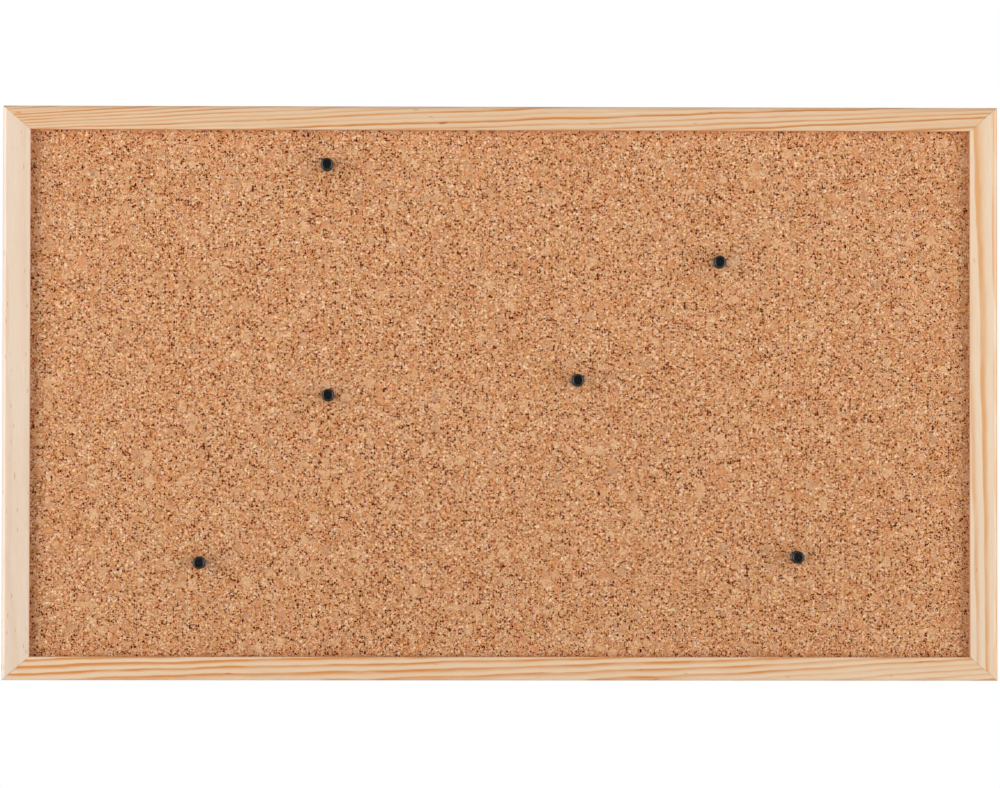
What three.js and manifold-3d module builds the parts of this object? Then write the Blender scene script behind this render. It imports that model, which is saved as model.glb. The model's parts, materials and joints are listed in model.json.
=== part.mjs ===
// A wall notice board: a cork sheet on fibreboard, held in a mitred pine frame, with six push pins.
// Millimetres, +Z up, +X to the right seen from the front. The front faces -Y and the wall is at +Y.
// The origin is the middle of the board, on the plane of the frame's back.

import * as THREE from "three";
import { mergeVertices } from "three/addons/utils/BufferGeometryUtils.js";
import Module from "manifold-3d";

const wasm = await Module();
wasm.setup();

// Overall size over the frame's outer edges
const BOARD_WIDTH = 600;
const BOARD_HEIGHT = 346;

// Clearances
const SEAT_GAP = 0.2; // between faces that rest on each other
const CUT_GAP = 0.3; // round a piece that sits in a cut
const MITRE_GAP = 0.2; // across a mitre, square to the joint
const EDGE_GAP = 0.8; // from the panel's edges to the rebate
const OVERCUT = 1; // how far a cut runs out past the face that it opens

// Frame moulding: faces seen from the front, then the section of the wider member, the stile
const STILE_FACE = 16.6;
const RAIL_FACE = 14.2;
const LIP_DEPTH = 5.5;
const REBATE_WIDTH = 5;
const EASING_WIDTH = 2.4; // of the sloped outer front edge
const EASING_DEPTH = 1.3;
const EASING_FULLNESS = 0.35; // 0 is a flat bevel, 1 a full rounding
const ARRIS_WIDTH = 0.85; // of the inner front edge, which is eased like the outer one
const ARRIS_DEPTH = 0.46;
const BACK_CHAMFER = 0.6;
const REAR_SETBACK = 2.2; // from the back of the framer's points to the back of the frame

// Panel
const CORK_THICKNESS = 3;
const FIBREBOARD_THICKNESS = 6;

// Framer's points: flat arrowheads driven into the wall of the rebate
const POINT_THICKNESS = 0.7;
const POINT_WIDTH = 9.5;
const POINT_BITE = 5;
const POINT_REACH = 8;
const POINT_TIP = 3.5;
const POINT_INSET = 28; // from the frame's inner corners to the middle of the nearest point

// Corner nails: one V of steel strip across the back of each mitre
const NAIL_LEG = 4.5;
const NAIL_THICKNESS = 0.7;
const NAIL_DEPTH = 7;
const NAIL_SINK = 0.3; // below the back of the frame

// Strap hangers on the backs of the stiles
const HANGER_DROP = 62; // from the top edge of the frame to the ring's pivot
const STRAP_WIDTH = 6.5;
const STRAP_THICKNESS = 0.8;
const EYE_CURL = THREE.MathUtils.degToRad(290);
const EYE_PLAY = 0.25; // between the ring's wire and the eye
const RING_WIRE = 1.6;
const RING_SIDE_PLAY = 0.35; // between the strap's edges and the ring's corners
const RING_CORNER = 1;
const RING_LEG = 4;
const RING_BUTT_GAP = 0.5; // where the ends of the bent wire meet, inside the eye
const SWING_CLEARANCE = 1.2; // from the ring lying on the strap to the screw's head

// Wood screws of the hangers
const SCREW_SHANK = 2.6;
const SCREW_LENGTH = 11;
const SCREW_TIP = 3;
const SCREW_HEAD = 5.4;
const SCREW_HEAD_RIM = 0.6;
const SCREW_HEAD_HEIGHT = 1.8;

// Push pins: a turned head with a flange, a waisted grip and a thumb disc, on a steel needle
const PIN_HEIGHT = 12;
const PIN_DISC = 7.5;
const PIN_DISC_THICKNESS = 2;
const PIN_DISC_ROUND = 1.5;
const PIN_DISH = 0.25; // hollow of the thumb disc
const PIN_WAIST = 4.4;
const PIN_GRIP_FOOT = 5.4; // grip's diameter at the flange
const PIN_GRIP_TOP = 6; // grip's diameter at the disc
const PIN_FLANGE = 7.8;
const PIN_FLANGE_THICKNESS = 1.3;
const PIN_FLANGE_SLOPE = 0.6; // rise of the flange's top towards the grip
const PIN_EDGE = 0.35;
const FLANGE_EDGE_TURN = 70; // degrees that the flange's upper edge is rounded through
const DISC_EDGE_TURN = 60; // degrees that the disc's lower edge is rounded through
const NEEDLE_DIAMETER = 1.1;
const NEEDLE_REACH = 8; // below the flange
const NEEDLE_TIP = 2.5;
const NEEDLE_ROOT = 6; // inside the head
const NEEDLE_PLAY = 0.1;

// Facets of the round forms
const ARC_STEPS = 8; // of a plate's round edges
const MOULDING_STEPS = 4; // of the frame's eased edges
const EYE_STEPS = 16;
const RING_STEPS = 44;
const RING_SIDES = 8;
const SCREW_SEGMENTS = 20;
const DOME_STEPS = 4;
const PIN_SEGMENTS = 24;
const GRIP_STEPS = 6;
const DISC_STEPS = 6;
const EDGE_STEPS = 2;
const NEEDLE_SEGMENTS = 12;

// Places of the pins, as shares of the open cork from its left and bottom edges
const PIN_PLACES = [
  [0.315, 0.934],
  [0.733, 0.75],
  [0.582, 0.525],
  [0.3165, 0.496],
  [0.18, 0.178],
  [0.8163, 0.1893],
];

// Sizes that follow from the ones above
const PANEL_BACK = -(REAR_SETBACK + POINT_THICKNESS + SEAT_GAP);
const CORK_BACK = PANEL_BACK - FIBREBOARD_THICKNESS - SEAT_GAP;
const CORK_FRONT = CORK_BACK - CORK_THICKNESS;
const FRAME_FRONT = CORK_FRONT - SEAT_GAP - LIP_DEPTH;
const RAIL_REBATE = REBATE_WIDTH * RAIL_FACE / STILE_FACE;
const STILE_LAND = STILE_FACE - REBATE_WIDTH;
const RAIL_LAND = RAIL_FACE - RAIL_REBATE;
const OPEN_WIDTH = BOARD_WIDTH - 2 * STILE_FACE;
const OPEN_HEIGHT = BOARD_HEIGHT - 2 * RAIL_FACE;
const PANEL_WIDTH = OPEN_WIDTH + 2 * (REBATE_WIDTH - EDGE_GAP);
const PANEL_HEIGHT = OPEN_HEIGHT + 2 * (RAIL_REBATE - EDGE_GAP);
const WIRE_RADIUS = RING_WIRE / 2;
const EYE_INNER = WIRE_RADIUS + EYE_PLAY;
const EYE_OUTER = EYE_INNER + STRAP_THICKNESS;
const PIVOT_HEIGHT = SEAT_GAP + EYE_OUTER; // of the ring's bar, off the back of the stile
const RING_HALF_WIDTH = STRAP_WIDTH / 2 + RING_SIDE_PLAY + RING_CORNER;
const RING_TOP = RING_CORNER + RING_LEG + RING_HALF_WIDTH;
const SCREW_DROP = RING_TOP + WIRE_RADIUS + SWING_CLEARANCE + SCREW_HEAD / 2;
const SCREW_SEAT = SEAT_GAP + STRAP_THICKNESS + SEAT_GAP; // of the screw's head, off the back of the stile
const SCREW_HOLE = SCREW_SHANK / 2 + CUT_GAP;
const NEEDLE_RADIUS = NEEDLE_DIAMETER / 2;
const NEEDLE_HOLE = NEEDLE_RADIUS + CUT_GAP;
const PIN_SEAT = CORK_FRONT - SEAT_GAP;

// Finishes
const PINE_RAIL = { color: 0xdfb58e, roughness: 0.55, metalness: 0 };
const PINE_STILE = { color: 0xe9cfb5, roughness: 0.55, metalness: 0 };
const CORK = { color: 0xc38a60, roughness: 0.9, metalness: 0 };
const FIBREBOARD = { color: 0x8a6a4a, roughness: 0.95, metalness: 0 };
const ZINC = { color: 0xb9bcc0, roughness: 0.4, metalness: 1 };
const NICKEL = { color: 0xc9c8c4, roughness: 0.25, metalness: 1 };
const BLACK_PLASTIC = { color: 0x17181a, roughness: 0.2, metalness: 0 };

const board = new THREE.Group();

// One named piece of the board
function piece(name, geometry, finish) {
  const mesh = new THREE.Mesh(geometry, new THREE.MeshStandardMaterial(finish));
  mesh.name = name;
  return mesh;
}

// A closed geometry as a solid that can be cut and joined
function solidOf(geometry) {
  const bare = geometry.clone();
  bare.deleteAttribute("normal");
  bare.deleteAttribute("uv");
  const welded = mergeVertices(bare);
  const mesh = new wasm.Mesh({
    numProp: 3,
    vertProperties: new Float32Array(welded.attributes.position.array),
    triVerts: new Uint32Array(welded.index.array),
  });
  return new wasm.Manifold(mesh);
}

// A solid as a geometry
function geometryOf(solid) {
  const mesh = solid.getMesh();
  const geometry = new THREE.BufferGeometry();
  geometry.setAttribute("position", new THREE.BufferAttribute(mesh.vertProperties, 3));
  geometry.setIndex(new THREE.BufferAttribute(mesh.triVerts, 1));
  geometry.computeVertexNormals();
  return geometry;
}

// A geometry less a list of others
function cut(geometry, cutters) {
  let solid = solidOf(geometry);
  for (const cutter of cutters) {
    solid = solid.subtract(solidOf(cutter));
  }
  return geometryOf(solid);
}

// A flat plate whose outline lies in X and Z, with its back face at the given Y
function plate(shape, thickness, back) {
  const settings = { depth: thickness, bevelEnabled: false, curveSegments: ARC_STEPS };
  const geometry = new THREE.ExtrudeGeometry(shape, settings);
  geometry.rotateX(Math.PI / 2);
  geometry.translate(0, back, 0);
  return geometry;
}

// A closed outline through straight corners
function outline(corners) {
  return new THREE.Shape(corners.map(([x, z]) => new THREE.Vector2(x, z)));
}

// A turned piece about the Y axis, from a profile of radius and height that starts and ends on the axis
function turned(profile, segments) {
  const points = profile.map(([radius, height]) => new THREE.Vector2(radius, height));
  return new THREE.LatheGeometry(points, segments);
}

// A rounded edge in a turned profile, between two angles in degrees
function roundedEdge(centreRadius, centreHeight, radius, from, to, steps) {
  const points = [];
  for (let step = 0; step <= steps; step += 1) {
    const angle = THREE.MathUtils.degToRad(from + (to - from) * step / steps);
    points.push([centreRadius + radius * Math.cos(angle), centreHeight + radius * Math.sin(angle)]);
  }
  return points;
}

// Section of the moulding: X runs inwards across the face, Y from the back (0) to the front.
// Widths shrink with the face, so that a rail's lines meet a stile's along the mitre.
function mouldingSection(face) {
  const share = face / STILE_FACE;
  const easing = EASING_WIDTH * share;
  const arris = ARRIS_WIDTH * share;
  const land = face - REBATE_WIDTH * share;
  const setback = (1 - EASING_FULLNESS) / 2;
  const arrisEnd = FRAME_FRONT + ARRIS_DEPTH;
  const lipBack = FRAME_FRONT + LIP_DEPTH;
  const section = new THREE.Shape();
  section.moveTo(BACK_CHAMFER * share, 0);
  section.lineTo(0, -BACK_CHAMFER);
  section.lineTo(0, FRAME_FRONT + EASING_DEPTH);
  section.quadraticCurveTo(easing * setback, FRAME_FRONT + EASING_DEPTH * setback, easing, FRAME_FRONT);
  section.lineTo(face - arris, FRAME_FRONT);
  section.quadraticCurveTo(face - arris * setback, FRAME_FRONT + ARRIS_DEPTH * setback, face, arrisEnd);
  section.lineTo(face, lipBack);
  section.lineTo(land, lipBack);
  section.lineTo(land, 0);
  return section;
}

// A bar of moulding that lies along X at the top of the board, with both ends cut back onto the mitres
function frameMember(face, otherFace, halfLength, halfAcross) {
  const settings = { depth: 1, bevelEnabled: false, curveSegments: MOULDING_STEPS };
  const geometry = new THREE.ExtrudeGeometry(mouldingSection(face), settings);
  const places = geometry.attributes.position;
  const trim = 0.5 * MITRE_GAP * Math.hypot(face, otherFace) / face;
  for (let index = 0; index < places.count; index += 1) {
    const inwards = places.getX(index);
    const reach = halfLength - trim - inwards * otherFace / face;
    const along = places.getZ(index) > 0.5 ? reach : -reach;
    places.setXYZ(index, along, places.getY(index), halfAcross - inwards);
  }
  return geometry;
}

// Outline of a framer's point, grown by a gap: Z = 0 is the wall of the rebate, and the tip is in the wood
function pointOutline(gap) {
  const half = POINT_WIDTH / 2 + gap;
  return outline([
    [-half, -POINT_REACH - gap],
    [half, -POINT_REACH - gap],
    [half, POINT_BITE - POINT_TIP + gap],
    [0, POINT_BITE + gap],
    [-half, POINT_BITE - POINT_TIP + gap],
  ]);
}

// A framer's point, or with a gap the slot that it sits in
function pointPlate(gap) {
  return plate(pointOutline(gap), POINT_THICKNESS + 2 * gap, -REAR_SETBACK + gap);
}

// Outline of a corner nail, grown by a gap: a V that opens towards +Z, with its middle at the origin
function nailOutline(gap) {
  const half = Math.SQRT1_2;
  const thick = NAIL_THICKNESS / 2 + gap;
  const leg = NAIL_LEG + gap;
  const apex = -NAIL_LEG * half / 2;
  const end = [leg * half, apex + leg * half];
  const side = thick * half;
  return outline([
    [0, apex - thick / half],
    [end[0] + side, end[1] - side],
    [end[0] - side, end[1] + side],
    [0, apex + thick / half],
    [-end[0] + side, end[1] + side],
    [-end[0] - side, end[1] - side],
  ]);
}

// A corner nail, set just below the back of the frame
function cornerNail() {
  return plate(nailOutline(0), NAIL_DEPTH, -NAIL_SINK);
}

// The pocket of a corner nail, open at the back of the frame
function nailPocket() {
  return plate(nailOutline(CUT_GAP), OVERCUT + NAIL_SINK + NAIL_DEPTH + CUT_GAP, OVERCUT);
}

// The four corners of the frame, with the place of each nail: the middle of the mitre on the frame's back
const corners = [];
for (const [name, sideX, sideZ] of [
  ["top_left", -1, 1],
  ["top_right", 1, 1],
  ["bottom_left", -1, -1],
  ["bottom_right", 1, -1],
]) {
  const turn = Math.atan2(sideX * STILE_FACE, sideZ * RAIL_FACE);
  const place = new THREE.Matrix4().makeRotationY(turn);
  place.setPosition(
    sideX * (BOARD_WIDTH - STILE_LAND) / 2,
    0,
    sideZ * (BOARD_HEIGHT - RAIL_LAND) / 2,
  );
  corners.push({ name, place });
}

// The two hangers, each at the middle of a stile's back
const hangers = [["left", -1], ["right", 1]].map(([name, side]) => ({
  name,
  place: new THREE.Vector3(side * (BOARD_WIDTH - STILE_LAND) / 2, 0, BOARD_HEIGHT / 2 - HANGER_DROP),
}));

// Pilot hole of a hanger's screw, open at the back of the stile
function pilotHole(hanger) {
  const depth = SCREW_LENGTH + CUT_GAP;
  const hole = new THREE.CylinderGeometry(SCREW_HOLE, SCREW_HOLE, depth, SCREW_SEGMENTS);
  hole.translate(hanger.place.x, SCREW_SEAT - depth / 2, hanger.place.z - SCREW_DROP);
  return hole;
}

// Frame: four members with their framer's points, each side turned from the top
const rail = {
  member: "rail",
  finish: PINE_RAIL,
  size: [RAIL_FACE, STILE_FACE, BOARD_WIDTH / 2, BOARD_HEIGHT / 2],
  wall: OPEN_HEIGHT / 2 + RAIL_REBATE,
  points: [POINT_INSET - OPEN_WIDTH / 2, 0, OPEN_WIDTH / 2 - POINT_INSET],
};
const stile = {
  member: "stile",
  finish: PINE_STILE,
  size: [STILE_FACE, RAIL_FACE, BOARD_HEIGHT / 2, BOARD_WIDTH / 2],
  wall: OPEN_WIDTH / 2 + REBATE_WIDTH,
  points: [POINT_INSET - OPEN_HEIGHT / 2, OPEN_HEIGHT / 2 - POINT_INSET],
};
const sides = [
  { side: "top", turn: 0, ...rail },
  { side: "bottom", turn: Math.PI, ...rail },
  { side: "left", turn: -Math.PI / 2, ...stile },
  { side: "right", turn: Math.PI / 2, ...stile },
];
for (const { side, member, turn, size, wall, points, finish } of sides) {
  const bar = frameMember(...size);
  bar.rotateY(turn);
  const cutters = corners.map((corner) => nailPocket().applyMatrix4(corner.place));
  points.forEach((along, index) => {
    const place = new THREE.Matrix4().makeRotationY(turn);
    place.multiply(new THREE.Matrix4().makeTranslation(along, 0, wall));
    cutters.push(pointPlate(CUT_GAP).applyMatrix4(place));
    const point = piece(`panel_point_${side}_${index + 1}`, pointPlate(0), ZINC);
    point.applyMatrix4(place);
    board.add(point);
  });
  cutters.push(...hangers.filter((hanger) => hanger.name === side).map(pilotHole));
  board.add(piece(`frame_${side}_${member}`, cut(bar, cutters), finish));
}
for (const { name, place } of corners) {
  const nail = piece(`corner_nail_${name}`, cornerNail(), ZINC);
  nail.applyMatrix4(place);
  board.add(nail);
}

// Panel: cork sheet over fibreboard, with the holes that the needles make
const pinSpots = PIN_PLACES.map(([across, up]) => [(across - 0.5) * OPEN_WIDTH, (up - 0.5) * OPEN_HEIGHT]);
const needleEnd = PIN_SEAT + NEEDLE_REACH + CUT_GAP;

// Outline of the cork and of the fibreboard
function panelOutline() {
  const x = PANEL_WIDTH / 2;
  const z = PANEL_HEIGHT / 2;
  return outline([[-x, -z], [x, -z], [x, z], [-x, z]]);
}

// A needle's hole, from in front of the cork to just past the tip
function needleHole([x, z]) {
  const depth = needleEnd - FRAME_FRONT;
  const hole = new THREE.CylinderGeometry(NEEDLE_HOLE, NEEDLE_HOLE, depth, NEEDLE_SEGMENTS);
  hole.translate(x, (needleEnd + FRAME_FRONT) / 2, z);
  return hole;
}

const needleHoles = pinSpots.map(needleHole);
const corkBlank = plate(panelOutline(), CORK_THICKNESS, CORK_BACK);
const fibreBlank = plate(panelOutline(), FIBREBOARD_THICKNESS, PANEL_BACK);
board.add(piece("cork_sheet", cut(corkBlank, needleHoles), CORK));
board.add(piece("backing_board", cut(fibreBlank, needleHoles), FIBREBOARD));

// A pin's head, turned with the flange's seat at height 0 and the thumb disc at the top
function pinHead() {
  const disc = PIN_DISC / 2;
  const flange = PIN_FLANGE / 2;
  const bore = NEEDLE_RADIUS + NEEDLE_PLAY;
  const boreEnd = NEEDLE_ROOT + NEEDLE_PLAY;
  const flangeEdge = PIN_FLANGE_THICKNESS - PIN_EDGE;
  const discFoot = PIN_HEIGHT - PIN_DISC_THICKNESS;
  const gripFoot = PIN_FLANGE_THICKNESS + PIN_FLANGE_SLOPE;
  const gripTop = PIN_GRIP_TOP / 2;
  const grip = new THREE.QuadraticBezierCurve(
    new THREE.Vector2(PIN_GRIP_FOOT / 2, gripFoot),
    new THREE.Vector2(PIN_WAIST - (PIN_GRIP_FOOT / 2 + gripTop) / 2, (gripFoot + discFoot) / 2),
    new THREE.Vector2(gripTop, discFoot),
  );
  const profile = [
    [0, boreEnd],
    [bore, boreEnd],
    [bore, 0],
    ...roundedEdge(flange - PIN_EDGE, PIN_EDGE, PIN_EDGE, -90, 0, EDGE_STEPS),
    ...roundedEdge(flange - PIN_EDGE, flangeEdge, PIN_EDGE, 0, FLANGE_EDGE_TURN, EDGE_STEPS),
    ...grip.getPoints(GRIP_STEPS).map((point) => [point.x, point.y]),
    ...roundedEdge(disc - PIN_EDGE, discFoot + PIN_EDGE, PIN_EDGE, -DISC_EDGE_TURN, 0, EDGE_STEPS),
    ...roundedEdge(disc - PIN_DISC_ROUND, PIN_HEIGHT - PIN_DISC_ROUND, PIN_DISC_ROUND, 0, 90, DISC_STEPS),
    [0, PIN_HEIGHT - PIN_DISH],
  ];
  return turned(profile, PIN_SEGMENTS);
}

// A pin's needle, with its tip down and its root in the head
function pinNeedle() {
  const profile = [
    [0, -NEEDLE_REACH],
    [NEEDLE_RADIUS, NEEDLE_TIP - NEEDLE_REACH],
    [NEEDLE_RADIUS, NEEDLE_ROOT],
    [0, NEEDLE_ROOT],
  ];
  return turned(profile, NEEDLE_SEGMENTS);
}

pinSpots.forEach(([x, z], index) => {
  const pin = new THREE.Group();
  pin.position.set(x, PIN_SEAT, z);
  pin.rotation.x = Math.PI;
  pin.add(piece(`pin_${index + 1}_head`, pinHead(), BLACK_PLASTIC));
  pin.add(piece(`pin_${index + 1}_needle`, pinNeedle(), NICKEL));
  board.add(pin);
});

// Strap hangers: Z = 0 is the ring's pivot, Y = 0 the back of the stile

// Side view of the strap, X off the stile and Y up: a flat leaf that ends in a rolled eye
function strapSide(length) {
  const roll = (radius, angle) => [PIVOT_HEIGHT - radius * Math.cos(angle), radius * Math.sin(angle)];
  const side = new THREE.Shape();
  side.moveTo(SEAT_GAP, -length);
  side.lineTo(SEAT_GAP + STRAP_THICKNESS, -length);
  for (let step = 0; step <= EYE_STEPS; step += 1) {
    side.lineTo(...roll(EYE_INNER, EYE_CURL * step / EYE_STEPS));
  }
  for (let step = EYE_STEPS; step >= 0; step -= 1) {
    side.lineTo(...roll(EYE_OUTER, EYE_CURL * step / EYE_STEPS));
  }
  return side;
}

// Face view of the strap, with a round end about the screw's hole
function strapFace() {
  const half = STRAP_WIDTH / 2;
  const top = EYE_OUTER + OVERCUT;
  const face = new THREE.Shape();
  face.moveTo(half, top);
  face.lineTo(-half, top);
  face.lineTo(-half, -SCREW_DROP);
  face.absarc(0, -SCREW_DROP, half, Math.PI, 2 * Math.PI, false);
  const hole = new THREE.Path();
  hole.absarc(0, -SCREW_DROP, SCREW_HOLE, 0, 2 * Math.PI, true);
  face.holes.push(hole);
  return face;
}

// The strap: the rolled strip, trimmed to its face
function hangerStrap() {
  const width = STRAP_WIDTH + 2 * OVERCUT;
  const length = SCREW_DROP + STRAP_WIDTH / 2 + OVERCUT;
  const strip = new THREE.ExtrudeGeometry(strapSide(length), { depth: width, bevelEnabled: false });
  strip.translate(0, 0, -width / 2);
  strip.applyMatrix4(new THREE.Matrix4().makeBasis(
    new THREE.Vector3(0, 1, 0),
    new THREE.Vector3(0, 0, 1),
    new THREE.Vector3(1, 0, 0),
  ));
  const back = PIVOT_HEIGHT + EYE_OUTER + OVERCUT;
  const trim = plate(strapFace(), back, back);
  return geometryOf(solidOf(strip).intersect(solidOf(trim)));
}

// The D ring: wire bent from the middle of its bar, round both corners and over the top
function hangerRing() {
  const side = RING_HALF_WIDTH;
  const legTop = RING_CORNER + RING_LEG;
  const bow = side * 4 * (Math.SQRT2 - 1) / 3;
  const at = (x, z) => new THREE.Vector3(x, 0, z);
  const wire = new THREE.CurvePath();
  wire.add(new THREE.LineCurve3(at(RING_BUTT_GAP / 2, 0), at(side - RING_CORNER, 0)));
  wire.add(new THREE.QuadraticBezierCurve3(at(side - RING_CORNER, 0), at(side, 0), at(side, RING_CORNER)));
  wire.add(new THREE.LineCurve3(at(side, RING_CORNER), at(side, legTop)));
  wire.add(new THREE.CubicBezierCurve3(
    at(side, legTop), at(side, legTop + bow), at(bow, RING_TOP), at(0, RING_TOP)));
  wire.add(new THREE.CubicBezierCurve3(
    at(0, RING_TOP), at(-bow, RING_TOP), at(-side, legTop + bow), at(-side, legTop)));
  wire.add(new THREE.LineCurve3(at(-side, legTop), at(-side, RING_CORNER)));
  wire.add(new THREE.QuadraticBezierCurve3(at(-side, RING_CORNER), at(-side, 0), at(RING_CORNER - side, 0)));
  wire.add(new THREE.LineCurve3(at(RING_CORNER - side, 0), at(-RING_BUTT_GAP / 2, 0)));
  const section = new THREE.Shape();
  section.absarc(0, 0, WIRE_RADIUS, 0, 2 * Math.PI, false);
  return new THREE.ExtrudeGeometry(section, {
    steps: RING_STEPS,
    curveSegments: RING_SIDES / 2,
    extrudePath: wire,
  });
}

// The screw, turned with its head's seat at height 0
function hangerScrew() {
  const head = SCREW_HEAD / 2;
  const rise = SCREW_HEAD_HEIGHT - SCREW_HEAD_RIM;
  const dome = new THREE.EllipseCurve(0, SCREW_HEAD_RIM, head, rise, 0, Math.PI / 2);
  const domePoints = dome.getPoints(DOME_STEPS).slice(0, -1).map((point) => [point.x, point.y]);
  const profile = [
    [0, -SCREW_LENGTH],
    [SCREW_SHANK / 2, SCREW_TIP - SCREW_LENGTH],
    [SCREW_SHANK / 2, 0],
    [head, 0],
    ...domePoints,
    [0, SCREW_HEAD_HEIGHT],
  ];
  return turned(profile, SCREW_SEGMENTS);
}

// A ring at rest leans on the stile, with its top just clear of the wood
const ringLean = Math.asin((PIVOT_HEIGHT - WIRE_RADIUS - CUT_GAP) / RING_TOP);

for (const { name, place } of hangers) {
  const hanger = new THREE.Group();
  hanger.position.copy(place);
  hanger.add(piece(`hanger_strap_${name}`, hangerStrap(), ZINC));
  const ring = piece(`hanger_ring_${name}`, hangerRing(), ZINC);
  ring.position.set(0, PIVOT_HEIGHT, 0);
  ring.rotation.x = ringLean;
  hanger.add(ring);
  const screw = piece(`hanger_screw_${name}`, hangerScrew(), ZINC);
  screw.position.set(0, SCREW_SEAT, -SCREW_DROP);
  hanger.add(screw);
  board.add(hanger);
}

export default board;
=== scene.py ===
"""Looks of a wall notice board: mitred pine frame, cork panel, push pins and ring hangers.

Metres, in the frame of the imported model: +X right, +Y towards the wall, +Z up. The front faces -Y.
"""

import json
import logging
import math
from dataclasses import asdict, dataclass, field, fields
from enum import Enum
from functools import reduce
from typing import Iterable, Sequence, Union

import bmesh
import bpy
from mathutils import Matrix, Vector, noise


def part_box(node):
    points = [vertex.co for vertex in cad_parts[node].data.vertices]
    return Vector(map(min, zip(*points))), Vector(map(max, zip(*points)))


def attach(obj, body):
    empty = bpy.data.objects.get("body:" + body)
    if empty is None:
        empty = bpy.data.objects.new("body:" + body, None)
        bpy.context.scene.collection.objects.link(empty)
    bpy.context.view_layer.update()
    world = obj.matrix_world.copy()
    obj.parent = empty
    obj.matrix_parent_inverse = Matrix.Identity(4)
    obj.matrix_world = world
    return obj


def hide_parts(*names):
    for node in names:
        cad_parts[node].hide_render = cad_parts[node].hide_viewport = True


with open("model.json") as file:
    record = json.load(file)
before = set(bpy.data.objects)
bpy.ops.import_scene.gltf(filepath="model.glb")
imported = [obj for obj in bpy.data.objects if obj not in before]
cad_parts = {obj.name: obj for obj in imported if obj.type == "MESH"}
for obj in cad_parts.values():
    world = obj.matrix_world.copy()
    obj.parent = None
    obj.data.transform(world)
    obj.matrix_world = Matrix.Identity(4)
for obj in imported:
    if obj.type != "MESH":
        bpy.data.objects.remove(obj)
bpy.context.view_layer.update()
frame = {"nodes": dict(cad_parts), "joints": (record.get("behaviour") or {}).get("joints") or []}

MM = 0.001
QUARTER_TURN = math.pi / 2
WELD = 0.0005 * MM
FINE_EDGE_STEPS = 2
WHITE = (1.0, 1.0, 1.0)
MID_GREY = (0.5, 0.5, 0.5)
IMAGE_WIDTH = 1000
PIN_COUNT = 6
LOG = logging.getLogger("notice_board")

# In a graph a Range eases a value from low and high to start and end; a Pair is its first two numbers, or a
# factor and a base, or a bump's distance and strength.
Triple = tuple[float, float, float]
Pair = tuple[float, float]
Range = tuple[float, float, float, float]
Stops = tuple[tuple[float, tuple[int, int, int]], ...]
Material = bpy.types.Material
Socket = bpy.types.NodeSocket
Outputs = bpy.types.NodeOutputs
Feed = Union[float, Sequence[float], Socket]
Shape = bmesh.types.BMesh
Corner = bmesh.types.BMVert
Edge = bmesh.types.BMEdge
Part = Union[Corner, Edge, bmesh.types.BMFace]
Piece = bpy.types.Object


def srgb(red: float, green: float, blue: float) -> Triple:
    """A colour as a screen shows it, in levels up to 255, as the light that it stands for."""
    levels = (red / 255.0, green / 255.0, blue / 255.0)
    return tuple(x / 12.92 if x <= 0.04045 else ((x + 0.055) / 1.055) ** 2.4 for x in levels)


class Side(Enum):
    """The four sides of the frame, each with the name of its member."""

    TOP = "top_rail"
    BOTTOM = "bottom_rail"
    LEFT = "left_stile"
    RIGHT = "right_stile"

    @property
    def node(self) -> str:
        """Name of the member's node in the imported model."""
        return f"frame_{self.value}"

    @property
    def is_rail(self) -> bool:
        """Whether the member lies along the board's width."""
        return self in (Side.TOP, Side.BOTTOM)

    @property
    def turn(self) -> float:
        """Turn about Y that brings the top side to this one, in radians."""
        quarters = {Side.TOP: 0, Side.BOTTOM: 2, Side.LEFT: -1, Side.RIGHT: 1}
        return quarters[self] * QUARTER_TURN


class Hand(Enum):
    """The two hangers."""

    LEFT = "left"
    RIGHT = "right"


class Steel(Enum):
    """Steel finishes, by the name of their slot."""

    ZINC = "zinc_steel"
    NEEDLE = "needle_steel"


class Spread(Enum):
    """Whether a pattern fills space or lies on a flat face."""

    SOLID = "3D"
    FACE = "2D"


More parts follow.
